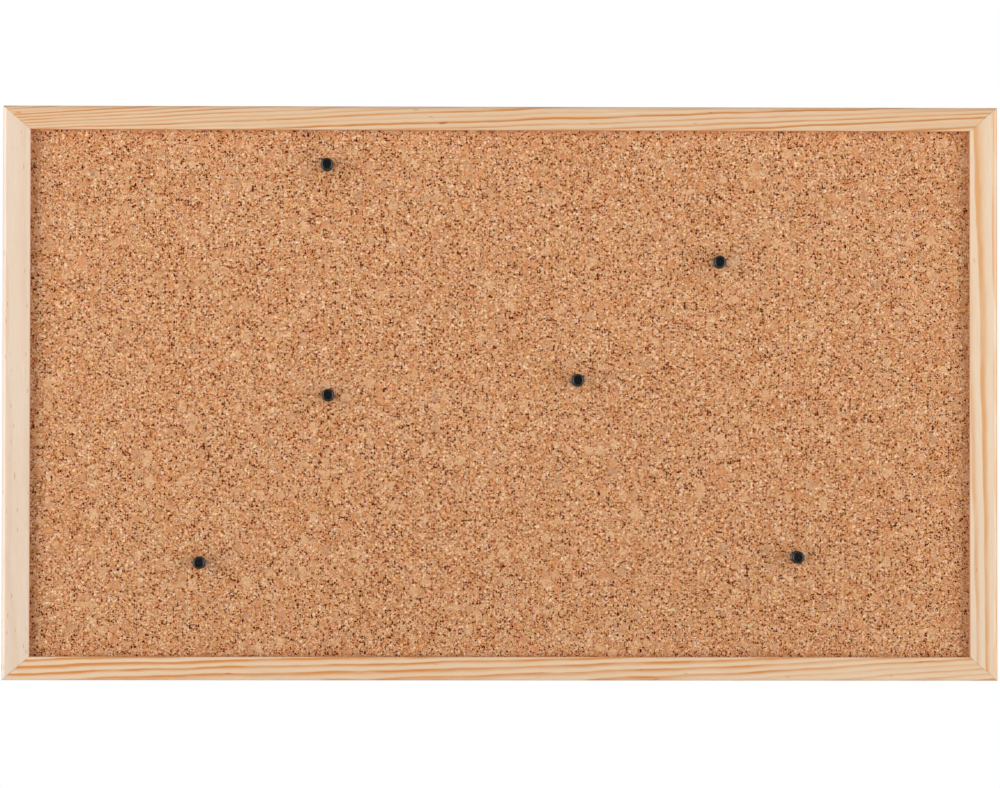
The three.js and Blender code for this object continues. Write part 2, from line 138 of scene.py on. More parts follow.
class Graph:
    """Adds nodes to one node tree and links them."""

    def __init__(self, tree: bpy.types.NodeTree) -> None:
        """Start on the node tree of a material, a world or a group, and empty it."""
        self.tree = tree
        tree.nodes.clear()

    def feed(self, socket: Socket, value: Feed) -> None:
        """Link a socket, or set the value of one.

        Args:
            socket: The input to feed.
            value: Another node's output, a number, or numbers.
        """
        if isinstance(value, bpy.types.NodeSocket):
            self.tree.links.new(value, socket)
        elif isinstance(value, (int, float)):
            socket.default_value = value
        else:
            missing = len(socket.default_value) - len(value)
            socket.default_value = (*value, *(1.0,) * missing)

    def node(self, kind: str, *feeds: Feed, **settings: object) -> bpy.types.Node:
        """Add a node.

        Args:
            kind: The node's type without its ShaderNode prefix.
            feeds: What feeds its first inputs, in their order.
            settings: Properties of the node.

        Returns:
            The new node.
        """
        made = self.tree.nodes.new(f"ShaderNode{kind}")
        for name, value in settings.items():
            setattr(made, name, value)
        for socket, value in zip(made.inputs, feeds):
            self.feed(socket, value)
        return made

    def fill(self, node: bpy.types.Node, feeds: dict[Union[str, int], Feed]) -> Outputs:
        """Feed some inputs of a node.

        Args:
            node: The node.
            feeds: What feeds each input, by its name or number.

        Returns:
            The node's outputs.
        """
        for name, value in feeds.items():
            self.feed(node.inputs[name], value)
        return node.outputs

    def math(self, operation: str, *values: Feed, clamp: bool = False) -> Socket:
        """Add a math node and return its result."""
        return self.node("Math", *values, operation=operation, use_clamp=clamp).outputs[0]

    def times(self, *factors: Feed) -> Socket:
        """Return the product of two or more factors."""
        return reduce(lambda product, factor: self.math("MULTIPLY", product, factor), factors)

    def lift(self, value: Feed, factor: Feed, base: Feed) -> Socket:
        """Return a base plus a factor times a value."""
        return self.math("MULTIPLY_ADD", value, factor, base)

    def sway(self, value: Feed, factor: Feed, base: Feed) -> Socket:
        """Return a base plus a factor times how far a value lies above a half."""
        return self.lift(self.math("SUBTRACT", value, 0.5), factor, base)

    def vector(self, operation: str, *values: Feed) -> Socket:
        """Add a vector math node and return its vector."""
        return self.node("VectorMath", *values, operation=operation).outputs[0]

    def nudge(self, place: Feed, chance: Feed, reach: Feed) -> Socket:
        """Move a place by a reach times how far a random colour lies from mid grey."""
        scaled = self.node("VectorMath", self.vector("SUBTRACT", chance, MID_GREY), operation="SCALE")
        return self.vector("ADD", place, self.fill(scaled, {"Scale": reach})[0])

    def mix(self, share: Feed, first: Feed, second: Feed, blend: str = "MIX") -> Socket:
        """Return the first colour at share 0, and the second at share 1 or blended with the first."""
        made = self.node("Mix", data_type="RGBA", blend_type=blend)
        return self.fill(made, {0: share, 6: first, 7: second})[2]

    def remap(self, value: Feed, low: Feed, high: Feed, start: Feed = 0.0, end: Feed = 1.0) -> Socket:
        """Ease a value from start, at or below low, to end, at or above high."""
        feeds = (value, low, high, start, end)
        return self.node("MapRange", *feeds, interpolation_type="SMOOTHSTEP").outputs[0]

    def split(self, vector: Feed) -> tuple[Socket, Socket, Socket]:
        """Return the three parts of a vector."""
        return tuple(self.node("SeparateXYZ", vector).outputs)

    def join(self, x: Feed, y: Feed, z: Feed) -> Socket:
        """Return a vector made of three parts."""
        return self.node("CombineXYZ", x, y, z).outputs[0]

    def noise(self, vector: Feed, scale: Feed, detail: float, spread: Spread = Spread.SOLID) -> Outputs:
        """Add noise with so many waves to a metre and octaves, and return its value and its colour."""
        made = self.node("TexNoise", noise_dimensions=spread.value)
        return self.fill(made, {"Vector": vector, "Scale": scale, "Detail": detail})

    def streaks(self, vector: Feed, waves: Triple, detail: float) -> Outputs:
        """Add noise with its own number of waves along each axis, and return its value and its colour."""
        return self.noise(self.vector("MULTIPLY", vector, waves), 1.0, detail)

    def cells(self, vector: Feed, scale: Feed, spread: Spread, feature: str = "F1") -> Outputs:
        """Add cells, so many to a metre, each with a random colour, and return the texture's outputs."""
        made = self.node("TexVoronoi", feature=feature, voronoi_dimensions=spread.value)
        return self.fill(made, {"Vector": vector, "Scale": scale})

    def ramp(self, value: Feed, stops: Stops) -> Socket:
        """Add a colour ramp.

        Args:
            value: Where on the ramp to read.
            stops: Place and colour, in screen levels, of each stop from low to high.

        Returns:
            The colour.
        """
        made = self.node("ValToRGB", value)
        elements = made.color_ramp.elements
        while len(elements) < len(stops):
            elements.new(1.0)
        for element, (place, levels) in zip(elements, stops):
            element.position = place
            element.color = (*srgb(*levels), 1.0)
        return made.outputs[0]

    def bump(self, height: Feed, distance: float, strength: float) -> Socket:
        """Return the normal bent by a height, which is a share of a distance in metres."""
        feeds = {"Strength": strength, "Distance": distance, "Height": height}
        return self.fill(self.node("Bump"), feeds)[0]


@dataclass(frozen=True)
class Specks:
    """How specks are scattered over a texture of cells.

    Scale is the cells to a metre, share the part of them with a speck, size its radius in cells, ragged how
    far its outline strays, in cells, and edge where it begins to fade, as a share of its radius.
    """

    scale: float
    share: float
    size: float
    ragged: float
    edge: float = 0.5


@dataclass(frozen=True)
class Rings:
    """Ring count over a bar: terms in its length u, from -1 to 1, and its face v, from 0 to 1."""

    start: float
    u: float
    v: float
    depth: float
    uv: float = 0.0
    uu: float = 0.0
    uuv: float = 0.0
    uuu: float = 0.0
    vv: float = 0.0


class Group:
    """A shader node group that is built once and placed in several materials."""

    def __init__(self, name: str, inputs: dict[str, str], outputs: dict[str, str]) -> None:
        """Make the group with its sockets.

        Args:
            name: The group's name.
            inputs: Name and kind of each input: Float, Vector or Color.
            outputs: Name and kind of each output.
        """
        self.tree = bpy.data.node_groups.new(name, "ShaderNodeTree")
        for way, sockets in (("INPUT", inputs), ("OUTPUT", outputs)):
            for label, kind in sockets.items():
                self.tree.interface.new_socket(name=label, in_out=way, socket_type=f"NodeSocket{kind}")
        self.graph = Graph(self.tree)
        self.given = self.tree.nodes.new("NodeGroupInput").outputs
        self.result = self.tree.nodes.new("NodeGroupOutput")

    def place(self, graph: Graph, feeds: dict[str, Feed]) -> Outputs:
        """Put the group into a material's graph with what feeds its inputs, and return its outputs."""
        return graph.fill(graph.node("Group", node_tree=self.tree), feeds)


class SpeckGroup(Group):
    """Scattered specks of uneven size and outline: the mask is 1 in a speck, the tone random for each."""

    OUTLINE_WAVES = 1.7
    SIZE_RANGE = 0.7
    LEAST_SIZE = 0.45

    def __init__(self, spread: Spread) -> None:
        """Build the group.

        Args:
            spread: Whether the specks fill space or lie on a face.
        """
        numbers = {entry.name: "Float" for entry in fields(Specks)}
        outputs = {"mask": "Float", "tone": "Float"}
        super().__init__(f"specks_{spread.value}", {"place": "Vector", **numbers}, outputs)
        graph, given = self.graph, self.given
        waves = graph.times(given["scale"], self.OUTLINE_WAVES)
        outline = graph.noise(given["place"], waves, detail=1.0, spread=spread)[1]
        reach = graph.math("DIVIDE", given["ragged"], given["scale"])
        cells = graph.cells(graph.nudge(given["place"], outline, reach), given["scale"], spread)
        pick, grow, tone = graph.split(cells["Color"])
        chosen = graph.math("LESS_THAN", pick, given["share"])
        radius = graph.times(given["size"], graph.lift(grow, self.SIZE_RANGE, self.LEAST_SIZE))
        disc = graph.remap(cells["Distance"], graph.times(radius, given["edge"]), radius, 1.0, 0.0)
        graph.fill(self.result, {"mask": graph.times(disc, chosen), "tone": tone})


class GrainGroup(Group):
    """Growth rings, fibres and resin ducts of a sawn softwood bar, with painted warm shade along its inner
    edge.

    It reads a bar's own place: X along it from -1 to 1, Y inwards across its face from 0 to 1, Z its depth
    in face widths. Its reach is half its length in face widths, and its waves are counted to a face width.
    """

    NUMBERS = ("wander", "seed", "contrast", "ducts")
    COLOURS = ("early", "late", "warm")
    TERMS = ("u", "v", "uv", "uu", "uuv", "uuu", "vv")
    SEED_SPAN = 97.0
    DRIFT_WAVES = (0.3, 0.9, 0.9)
    UNEVEN_WAVES = (0.45, 2.2, 2.2)
    FIBRE_WAVES = (1.3, 46.0, 46.0)
    FINE_WAVES = (3.2, 150.0, 150.0)
    BROAD_WAVES = (0.14, 2.6, 2.6)
    ONSET = (0.25, 0.18)
    RISE_END = 0.82
    RISE_POWER = 1.3
    FALL = (0.88, 1.0, 1.0, 0.0)
    UNEVENNESS = (0.25, 0.75, 0.65, 1.4)
    STRENGTH = (0.95, 0.15)
    DUCT_CELLS = (1.6, 11.0, 11.0)
    DUCT_HEART = 0.08
    DUCT_RADIUS = (0.14, 0.2)
    DUCT_DEPTH = 0.75
    WARMTH = (0.3, 0.75, 0.0, 0.55)
    FIBRE_SHADE = 0.18
    FINE_SHADE = 0.14
    # Painted warm shade on the inner arris and the recess wall, as of light bounced off the cork: where
    # across the face it lies, and its colour.
    INNER_EDGE = (0.96, 1.0, 0.0, 0.7)
    EDGE_STAIN = srgb(216, 152, 98)
    HEIGHT_SHARE = 0.5
    ROUGHNESS = (0.12, 0.36)

    def __init__(self) -> None:
        """Build the group."""
        numbers = ("reach", *(entry.name for entry in fields(Rings)), *self.NUMBERS)
        super().__init__(
            "pine_grain",
            {"bar": "Vector", **dict.fromkeys(numbers, "Float"), **dict.fromkeys(self.COLOURS, "Color")},
            {"colour": "Color", "height": "Float", "roughness": "Float"},
        )
        graph, given = self.graph, self.given
        self.along, self.across, self.depth = graph.split(given["bar"])
        shift = graph.math("MODULO", given["seed"], self.SEED_SPAN)
        self.spot = graph.join(graph.lift(self.along, given["reach"], shift), self.across, self.depth)
        late = self.late_wood()
        fibre = self.streak(self.FIBRE_WAVES, detail=2.0)
        fine = self.streak(self.FINE_WAVES, detail=1.0)
        broad = self.streak(self.BROAD_WAVES, detail=2.0)
        fleck = self.duct_fleck()

        colour = graph.mix(graph.remap(broad, *self.WARMTH), given["early"], given["warm"])
        colour = graph.mix(late, colour, given["late"])
        shade = graph.sway(fine, self.FINE_SHADE, graph.sway(fibre, self.FIBRE_SHADE, 1.0))
        colour = graph.mix(1.0, colour, graph.join(shade, shade, shade), "MULTIPLY")
        colour = graph.mix(fleck, colour, given["late"], "MULTIPLY")
        # Paint warm shade, as of light bounced off the cork, over the inner arris and the recess wall.
        colour = graph.mix(graph.remap(self.across, *self.INNER_EDGE), colour, self.EDGE_STAIN)
        height = graph.lift(late, self.HEIGHT_SHARE, graph.times(fibre, self.HEIGHT_SHARE))
        height = graph.math("SUBTRACT", height, fleck)
        roughness = graph.lift(graph.math("SUBTRACT", fibre, late), *self.ROUGHNESS)
        graph.fill(self.result, {"colour": colour, "height": height, "roughness": roughness})

    def streak(self, waves: Triple, detail: float) -> Socket:
        """Noise drawn out along the bar."""
        return self.graph.streaks(self.spot, waves, detail)[0]

    def ring_count(self) -> Socket:
        """Count the growth rings up to a place on the bar.

        Returns:
            The count, whose whole part numbers the ring.
        """
        graph, given = self.graph, self.given
        places = {"u": self.along, "v": self.across}
        count = graph.sway(self.streak(self.DRIFT_WAVES, detail=3.0), given["wander"], given["start"])
        for term in self.TERMS:
            count = graph.math("ADD", count, graph.times(given[term], *(places[way] for way in term)))
        return graph.lift(given["depth"], self.depth, count)

    def late_wood(self) -> Socket:
        """Swell the dark late wood towards the end of each ring.

        Returns:
            Its share.
        """
        graph, given = self.graph, self.given
        count = self.ring_count()
        inside = graph.math("FRACT", count)
        number = graph.math("ADD", graph.math("FLOOR", count), given["seed"])
        chance = graph.fill(graph.node("TexWhiteNoise", noise_dimensions="1D"), {"W": number})
        strength, width, _ = graph.split(chance["Color"])
        rise = graph.remap(inside, graph.lift(width, *self.ONSET), self.RISE_END)
        swell = graph.times(graph.math("POWER", rise, self.RISE_POWER), graph.remap(inside, *self.FALL))
        uneven = graph.remap(self.streak(self.UNEVEN_WAVES, detail=2.0), *self.UNEVENNESS)
        swell = graph.times(swell, uneven, graph.lift(strength, *self.STRENGTH))
        return graph.math("MULTIPLY", swell, given["contrast"], clamp=True)

    def duct_fleck(self) -> Socket:
        """Scatter the short dark lines of the resin ducts.

        Returns:
            Their depth.
        """
        graph = self.graph
        stretched = graph.vector("MULTIPLY", self.spot, self.DUCT_CELLS)
        ducts = graph.cells(stretched, 1.0, Spread.SOLID)
        pick, _, length = graph.split(ducts["Color"])
        chosen = graph.math("LESS_THAN", pick, self.given["ducts"])
        radius = graph.lift(length, *self.DUCT_RADIUS)
        duct = graph.remap(ducts["Distance"], self.DUCT_HEART, radius, 1.0, 0.0)
        return graph.times(duct, chosen, self.DUCT_DEPTH)


@dataclass
class Effects:
    """The node groups that more than one material uses."""

    specks: dict[Spread, SpeckGroup] = field(
        default_factory=lambda: {spread: SpeckGroup(spread) for spread in Spread}
    )
    grain: GrainGroup = field(default_factory=GrainGroup)


class Surface(Graph):
    """The graph of a piece's material, with the place on the piece and the shared effects."""

    def __init__(self, tree: bpy.types.NodeTree, effects: Effects) -> None:
        """Start on a material's node tree.

        Args:
            tree: The tree, which is emptied.
            effects: The shared node groups.
        """
        super().__init__(tree)
        self.effects = effects
        self.place = self.node("TexCoord").outputs["Object"]

    def specks(self, look: Specks, place: Socket, spread: Spread = Spread.SOLID) -> Outputs:
        """Scatter specks over a place, and return their mask and tone."""
        return self.effects.specks[spread].place(self, {"place": place, **asdict(look)})


@dataclass(frozen=True)
class Finish:
    """A material of one slot of the record."""

    name: str
    slot: str

    def lay(self, graph: Surface) -> dict[str, Feed]:
        """Lay the pattern and return what feeds the shader; each kind of finish has its own."""
        raise NotImplementedError

    def material(self, effects: Effects) -> Material:
        """Build the material.

        Args:
            effects: The shared node groups.

        Returns:
            The material.
        """
        material = bpy.data.materials.new(self.name)
        material.use_nodes = True
        graph = Surface(material.node_tree, effects)
        shader = graph.fill(graph.node("BsdfPrincipled"), self.lay(graph))
        graph.node("OutputMaterial", shader[0])
        return material


@dataclass(frozen=True)
class PineFinish(Finish):
    """Natural pine under a thin varnish that gathers on the rounded edges, with the rings of one bar."""

    side: Side
    rings: Rings
    early: Triple
    late: Triple
    warm: Triple
    seed: float
    contrast: float = 1.0
    wander: float = 0.9
    ducts: float = 0.05
    pocket: Pair | None = None
    pocket_stretch: Triple = (80.0, 18.0, 0.0)
    pocket_waves: Triple = (260.0, 30.0, 0.0)
    pocket_fade: Range = (0.3, 1.0, 0.85, 0.0)
    pocket_stain: Triple = srgb(158, 86, 52)
    half_length: float = 0.3
    half_across: float = 0.173
    face: float = 0.0142
    gloss: float = 0.2
    coat: float = 0.25
    edge_coat: float = 0.75
    coat_roughness: float = 0.24
    edge_front: Pair = (-17.95 * MM, -17.7 * MM)
    edge_back: Pair = (-16.8 * MM, -16.4 * MM)
    relief: Pair = (0.05 * MM, 0.5)

    def lay(self, graph: Surface) -> dict[str, Feed]:
        """Lay the bar's grain, turned along it, and the varnish.

        Args:
            graph: The material's graph.

        Returns:
            What feeds the shader, by the names of its sockets.
        """
        turn = graph.node("Mapping", vector_type="POINT")
        turned = graph.fill(turn, {"Vector": graph.place, "Rotation": (0.0, -self.side.turn, 0.0)})[0]
        along, depth, up = graph.split(turned)
        bar = graph.join(
            graph.math("DIVIDE", along, self.half_length),
            graph.math("DIVIDE", graph.math("SUBTRACT", self.half_across, up), self.face),
            graph.math("DIVIDE", depth, self.face),
        )
        own = {name: getattr(self, name) for name in GrainGroup.NUMBERS + GrainGroup.COLOURS}
        reach = self.half_length / self.face
        grain = graph.effects.grain.place(graph, {"bar": bar, "reach": reach, **asdict(self.rings), **own})
        behind_face = graph.remap(depth, *self.edge_front)
        before_side = graph.remap(depth, *self.edge_back, 1.0, 0.0)
        rounding = graph.times(behind_face, before_side)
        return {
            "Base Color": self.stained(graph, grain["colour"], bar) if self.pocket else grain["colour"],
            "Roughness": grain["roughness"],
            "Specular IOR Level": self.gloss,
            "Coat Weight": graph.lift(rounding, self.edge_coat, self.coat),
            "Coat Roughness": self.coat_roughness,
            "Normal": graph.bump(grain["height"], *self.relief),
        }

    def stained(self, graph: Graph, colour: Socket, bar: Socket) -> Socket:
        """Lay a small resin pocket into the wood.

        Args:
            graph: The material's graph.
            colour: The wood's colour.
            bar: Place on the bar.

        Returns:
            The colour with the pocket's stain.
        """
        away = graph.vector("SUBTRACT", bar, (*self.pocket, 0.0))
        away = graph.vector("MULTIPLY", away, self.pocket_stretch)
        away = graph.nudge(away, graph.streaks(bar, self.pocket_waves, detail=1.0)[1], 1.0)
        flat = graph.vector("MULTIPLY", away, (1.0, 1.0, 0.0))
        distance = graph.node("VectorMath", flat, operation="LENGTH").outputs["Value"]
        return graph.mix(graph.remap(distance, *self.pocket_fade), colour, self.pocket_stain)


@dataclass(frozen=True)
class CorkFinish(Finish):
    """Fine cork granules bound into a sheet, with dark bark specks, pale ones and calm larger ones."""

    shades: Stops = (
        (0.0, (78, 14, 3)),
        (0.2, (116, 32, 6)),
        (0.4, (158, 78, 28)),
        (0.6, (188, 124, 77)),
        (0.7, (202, 142, 96)),
        (0.8, (214, 160, 116)),
        (0.9, (224, 182, 140)),
        (1.0, (233, 206, 172)),
    )
    calm_shades: Stops = (
        (0.0, (226, 182, 140)),
        (0.4, (216, 166, 122)),
        (0.5, (190, 146, 114)),
        (0.62, (206, 148, 104)),
        (1.0, (211, 141, 92)),
    )
    # Waves to a metre and octaves of waver, dust, mottle, the seams' gaps and the specks' crowding.
    noises: Sequence[Pair] = ((700.0, 1.0), (2200.0, 1.0), (45.0, 2.0), (520.0, 1.0), (170.0, 1.0))
    waver: float = 1.2 * MM
    granules: float = 380.0
    crumbs: float = 1150.0
    tone: float = 0.745
    # Weights of granules, crumbs, dust and mottle in the tone.
    weights: Sequence[float] = (0.06, 0.3, 0.85, 0.07)
    seam: Range = (0.0, 0.14, 1.0, 0.0)
    seam_gaps: Pair = (0.45, 0.6)
    seam_depth: float = -0.34
    dark: Specks = Specks(scale=720.0, share=0.3, size=0.46, ragged=1.2, edge=0.85)
    dark_depth: Pair = (0.85, 0.5)
    crowding: Range = (0.3, 0.7, 0.7, 1.2)
    pale: Specks = Specks(scale=560.0, share=0.25, size=0.5, ragged=0.7, edge=0.7)
    pale_rise: Pair = (0.28, 0.06)
    pale_shift: Triple = (0.37, 0.73, 0.0)
    # Tints at both ends of the granules' hue, the crumbs' hue and the crumbs' blue.
    tints: Sequence[tuple[Triple, Triple]] = (
        ((1.03, 0.97, 0.9), (0.97, 1.02, 1.08)),
        ((1.075, 0.965, 1.0), (0.925, 1.035, 1.0)),
        ((1.0, 1.0, 0.8), (1.0, 1.0, 1.2)),
    )
    calm: Specks = Specks(scale=150.0, share=0.24, size=0.44, ragged=0.5, edge=0.85)
    calm_share: float = 0.62
    roughness: float = 0.9
    relief: Pair = (0.2 * MM, 0.3)

    def lay(self, graph: Surface) -> dict[str, Feed]:
        """Lay granules, crumbs, dust, seams and specks over each other on the sheet's face.

        Args:
            graph: The material's graph.

        Returns:
            What feeds the shader, by the names of its sockets.
        """
        x, _, z = graph.split(graph.place)
        face = graph.join(x, z, 0.0)
        waves, dust, mottle, gaps, crowd = (
            graph.noise(face, scale, detail, Spread.FACE) for scale, detail in self.noises
        )
        bent = graph.nudge(face, waves[1], self.waver)
        granule_tone, granule_hue, _ = graph.split(graph.cells(bent, self.granules, Spread.FACE)["Color"])
        crumb_tone, crumb_hue, crumb_blue = graph.split(graph.cells(bent, self.crumbs, Spread.FACE)["Color"])
        tone = self.tone
        for value, weight in zip((granule_tone, crumb_tone, dust[0], mottle[0]), self.weights):
            tone = graph.sway(value, weight, tone)
        edges = graph.cells(bent, self.granules, Spread.FACE, "DISTANCE_TO_EDGE")["Distance"]
        seam = graph.times(graph.remap(edges, *self.seam), graph.remap(gaps[0], *self.seam_gaps))
        tone = graph.lift(seam, self.seam_depth, tone)
        dark = graph.specks(self.dark, face, Spread.FACE)
        crowding = graph.remap(crowd[0], *self.crowding)
        depth = graph.times(graph.lift(dark["tone"], *self.dark_depth), crowding)
        tone = graph.math("SUBTRACT", tone, graph.times(dark["mask"], depth))
        pale = graph.specks(self.pale, graph.vector("ADD", face, self.pale_shift), Spread.FACE)
        tone = graph.lift(pale["mask"], graph.lift(pale["tone"], *self.pale_rise), tone)
        colour = graph.ramp(tone, self.shades)
        for hue, ends in zip((granule_hue, crumb_hue, crumb_blue), self.tints):
            colour = graph.mix(1.0, colour, graph.mix(hue, *ends), "MULTIPLY")
        calm = graph.specks(self.calm, face, Spread.FACE)
        calm_colour = graph.ramp(calm["tone"], self.calm_shades)
        return {
            "Base Color": graph.mix(graph.times(calm["mask"], self.calm_share), colour, calm_colour),
            "Roughness": self.roughness,
            "Specular IOR Level": 0.0,
            "Normal": graph.bump(tone, *self.relief),
        }


@dataclass(frozen=True)
class FibreFinish(Finish):
    """Soft fibreboard: pressed brown fibres with a screen's print on the back."""

    base: Triple
    pale: Triple
    fibre_waves: Sequence[Triple] = ((240.0, 240.0, 900.0), (900.0, 240.0, 240.0))
    blotches: float = 14.0
    blotch_weight: float = 0.28
    paling: Pair = (0.25, 0.75)
    bark: Specks = Specks(scale=300.0, share=0.25, size=0.3, ragged=0.9)
    bark_colour: Triple = (0.11, 0.055, 0.026)
    bark_share: float = 0.45
    roughness: Pair = (0.2, 0.78)
    screen_pitch: float = 1.9 * MM
    screen_depth: float = 0.35
    relief: Pair = (0.22 * MM, 0.8)

    def lay(self, graph: Surface) -> dict[str, Feed]:
        """Lay crossed fibres, blotches, bark specks and the screen's print.

        Args:
            graph: The material's graph.

        Returns:
            What feeds the shader, by the names of its sockets.
        """
        x, _, z = graph.split(graph.place)
        turn = 2 * math.pi / self.screen_pitch
        screen = graph.times(*(graph.math("SINE", graph.times(way, turn)) for way in (x, z)))
        lying, crossed = (graph.streaks(graph.place, waves, detail=3.0)[0] for waves in self.fibre_waves)
        fibres = graph.times(graph.math("ADD", lying, crossed), 0.5)
        blotch = graph.noise(graph.place, self.blotches, detail=3.0)[0]
        share = graph.remap(graph.sway(blotch, self.blotch_weight, fibres), *self.paling)
        colour = graph.mix(share, self.base, self.pale)
        bark = graph.times(graph.specks(self.bark, graph.place)["mask"], self.bark_share)
        return {
            "Base Color": graph.mix(bark, colour, self.bark_colour),
            "Roughness": graph.lift(fibres, *self.roughness),
            "Normal": graph.bump(graph.lift(screen, self.screen_depth, fibres), *self.relief),
        }


@dataclass(frozen=True)
class SteelFinish(Finish):
    """Plated steel with rolling marks and a few duller spots."""

    base: Triple
    dull: Triple
    roughness: float
    stretch: Triple
    clouds: float = 420.0
    cloud_share: Range = (0.4, 0.75, 0.0, 0.6)
    spots: Specks = Specks(scale=1400.0, share=0.16, size=0.4, ragged=0.8)
    spot_share: float = 0.35
    dull_roughness: float = 0.14
    mark_roughness: float = 0.08
    relief: Pair = (0.02 * MM, 0.4)

    def lay(self, graph: Surface) -> dict[str, Feed]:
        """Lay the rolling marks, clouds and spots.

        Args:
            graph: The material's graph.

        Returns:
            What feeds the shader, by the names of its sockets.
        """
        marks = graph.streaks(graph.place, self.stretch, detail=2.0)[0]
        cloud = graph.remap(graph.noise(graph.place, self.clouds, detail=3.0)[0], *self.cloud_share)
        share = graph.lift(graph.specks(self.spots, graph.place)["mask"], self.spot_share, cloud)
        dulled = graph.lift(share, self.dull_roughness, self.roughness)
        return {
            "Base Color": graph.mix(share, self.base, self.dull),
            "Metallic": 1.0,
            "Roughness": graph.lift(marks, self.mark_roughness, dulled),
            "Normal": graph.bump(marks, *self.relief),
        }


@dataclass(frozen=True)
class PlasticFinish(Finish):
    """Glossy moulded plastic with a faint flow mottle and thumb wear."""

    base: Triple
    worn: Triple
    flow_waves: float = 260.0
    flow_range: Pair = (0.35, 0.8)
    flow_share: float = 0.5
    scuffs: Specks = Specks(scale=900.0, share=0.2, size=0.35, ragged=1.2)
    scuff_share: float = 0.35
    gloss: float = 0.4
    roughness: Pair = (0.12, 0.13)
    relief: Pair = (0.02 * MM, 0.35)

    def lay(self, graph: Surface) -> dict[str, Feed]:
        """Lay the flow mottle and the wear.

        Args:
            graph: The material's graph.

        Returns:
            What feeds the shader, by the names of its sockets.
        """
        flow = graph.noise(graph.place, self.flow_waves, detail=3.0)[0]
        scuff = graph.times(graph.specks(self.scuffs, graph.place)["mask"], self.scuff_share)
        share = graph.lift(graph.remap(flow, *self.flow_range), self.flow_share, scuff)
        return {
            "Base Color": graph.mix(share, self.base, self.worn),
            "Roughness": graph.lift(share, *self.roughness),
            "Specular IOR Level": self.gloss,
            "Normal": graph.bump(flow, *self.relief),
        }


def add_object(name: str, data: bpy.types.ID) -> Piece:
    """Add an object to the scene, at the origin.

    Args:
        name: The object's name.
        data: Its mesh, light or camera.

    Returns:
        The object.
    """
    made = bpy.data.objects.new(name, data)
    bpy.context.scene.collection.objects.link(made)
    return made


def make_piece(name: str, shape: Shape, material: Material, crease: float = 40.0) -> Piece:
    """Turn a finished shape into an object.

    Args:
        name: The piece's name.
        shape: The shape, in its place; it is used up.
        material: The piece's material.
        crease: Angle between faces, in degrees, above which an edge stays sharp.

    Returns:
        The object.
    """
    bmesh.ops.remove_doubles(shape, verts=shape.verts, dist=WELD)
    bmesh.ops.recalc_face_normals(shape, faces=shape.faces)
    mesh = bpy.data.meshes.new(name)
    shape.to_mesh(mesh)
    shape.free()
    mesh.shade_smooth()
    mesh.set_sharp_from_angle(angle=math.radians(crease))
    mesh.materials.append(material)
    return add_object(name, mesh)


def flatten_shading(piece: Piece) -> None:
    """Keep large faces flat beside their rounded edges."""
    weighted = piece.modifiers.new("flat_faces", "WEIGHTED_NORMAL")
    weighted.keep_sharp = True


def fit(piece: Piece, node: str, body: str) -> None:
    """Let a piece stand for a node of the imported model.

    Args:
        piece: The finished piece.
        node: The node that it replaces.
        body: The body that it moves with.
    """
    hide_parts(node)
    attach(piece, body)
    LOG.info("%s stands for %s on %s, %d faces", piece.name, node, body, len(piece.data.polygons))


def placed(spot: Sequence[float], turn: float = QUARTER_TURN, axis: str = "X") -> Matrix:
    """The matrix that turns a shape about an axis and moves it to a spot."""
    return Matrix.Translation(spot) @ Matrix.Rotation(turn, 4, axis)


def move(shape: Shape, matrix: Matrix) -> None:
    """Move a whole shape by a matrix."""
    bmesh.ops.transform(shape, matrix=matrix, verts=shape.verts)


def corners_of(parts: Iterable[Part]) -> list[Corner]:
    """The corners among some parts of a shape."""
    return [part for part in parts if isinstance(part, Corner)]


def edges_of(parts: Iterable[Part]) -> list[Edge]:
    """The edges among some parts of a shape."""
    return [part for part in parts if isinstance(part, Edge)]


def draw_out(shape: Shape, line: Sequence[Edge], step: Triple) -> tuple[list[Corner], list[Edge]]:
    """Extrude a line of edges.

    Args:
        shape: The shape.
        line: The edges to extrude.
        step: How far.

    Returns:
        The corners and the edges of the line's new place.
    """
    grown = bmesh.ops.extrude_edge_only(shape, edges=line)["geom"]
    corners = corners_of(grown)
    bmesh.ops.translate(shape, vec=step, verts=corners)
    new = set(corners)
    return corners, [edge for edge in edges_of(grown) if new.issuperset(edge.verts)]


def soften(
    shape: Shape,
    parts: Sequence[Part],
    radius: float,
    segments: int,
    affect: str = "EDGES",
    profile: float = 0.5,
    clamp: bool = False,
) -> None:
    """Round edges or corners.

    Args:
        shape: The shape.
        parts: The edges or corners to round.
        radius: Where the rounding starts on both sides, in metres.
        segments: Its facets.
        affect: EDGES or VERTICES.
        profile: Its fullness: a quarter is a flat bevel, a half is round.
        clamp: Whether roundings stop where they meet.
    """
    bmesh.ops.bevel(
        shape,
        geom=parts,
        offset=radius,
        offset_type="OFFSET",
        segments=segments,
        profile=profile,
        affect=affect,
        material=-1,
        clamp_overlap=clamp,
    )


def rounded(centre: Pair, radius: float, start: float, end: float, steps: int) -> list[Pair]:
    """Radius and height of the points of an arc, between two angles in degrees from straight outwards."""
    angles = [math.radians(start + (end - start) * step / steps) for step in range(steps + 1)]
    return [(centre[0] + radius * math.cos(angle), centre[1] + radius * math.sin(angle)) for angle in angles]


def turn_shape(points: Iterable[Pair], steps: int) -> Shape:
    """Turn a profile about the Z axis.

    Args:
        points: Radius and height of its points, from the axis and back to it.
        steps: How many steps a full turn has.

    Returns:
        The turned shape.
    """
    shape = bmesh.new()
    corners = [shape.verts.new((radius, 0.0, height)) for radius, height in points]
    edges = [shape.edges.new(pair) for pair in zip(corners[:-1], corners[1:])]
    bmesh.ops.spin(
        shape,
        geom=edges + corners,
        cent=(0.0, 0.0, 0.0),
        axis=(0.0, 0.0, 1.0),
        angle=2 * math.pi,
        steps=steps,
        use_merge=True,
    )
    bmesh.ops.remove_doubles(shape, verts=shape.verts, dist=2 * WELD)
    return shape


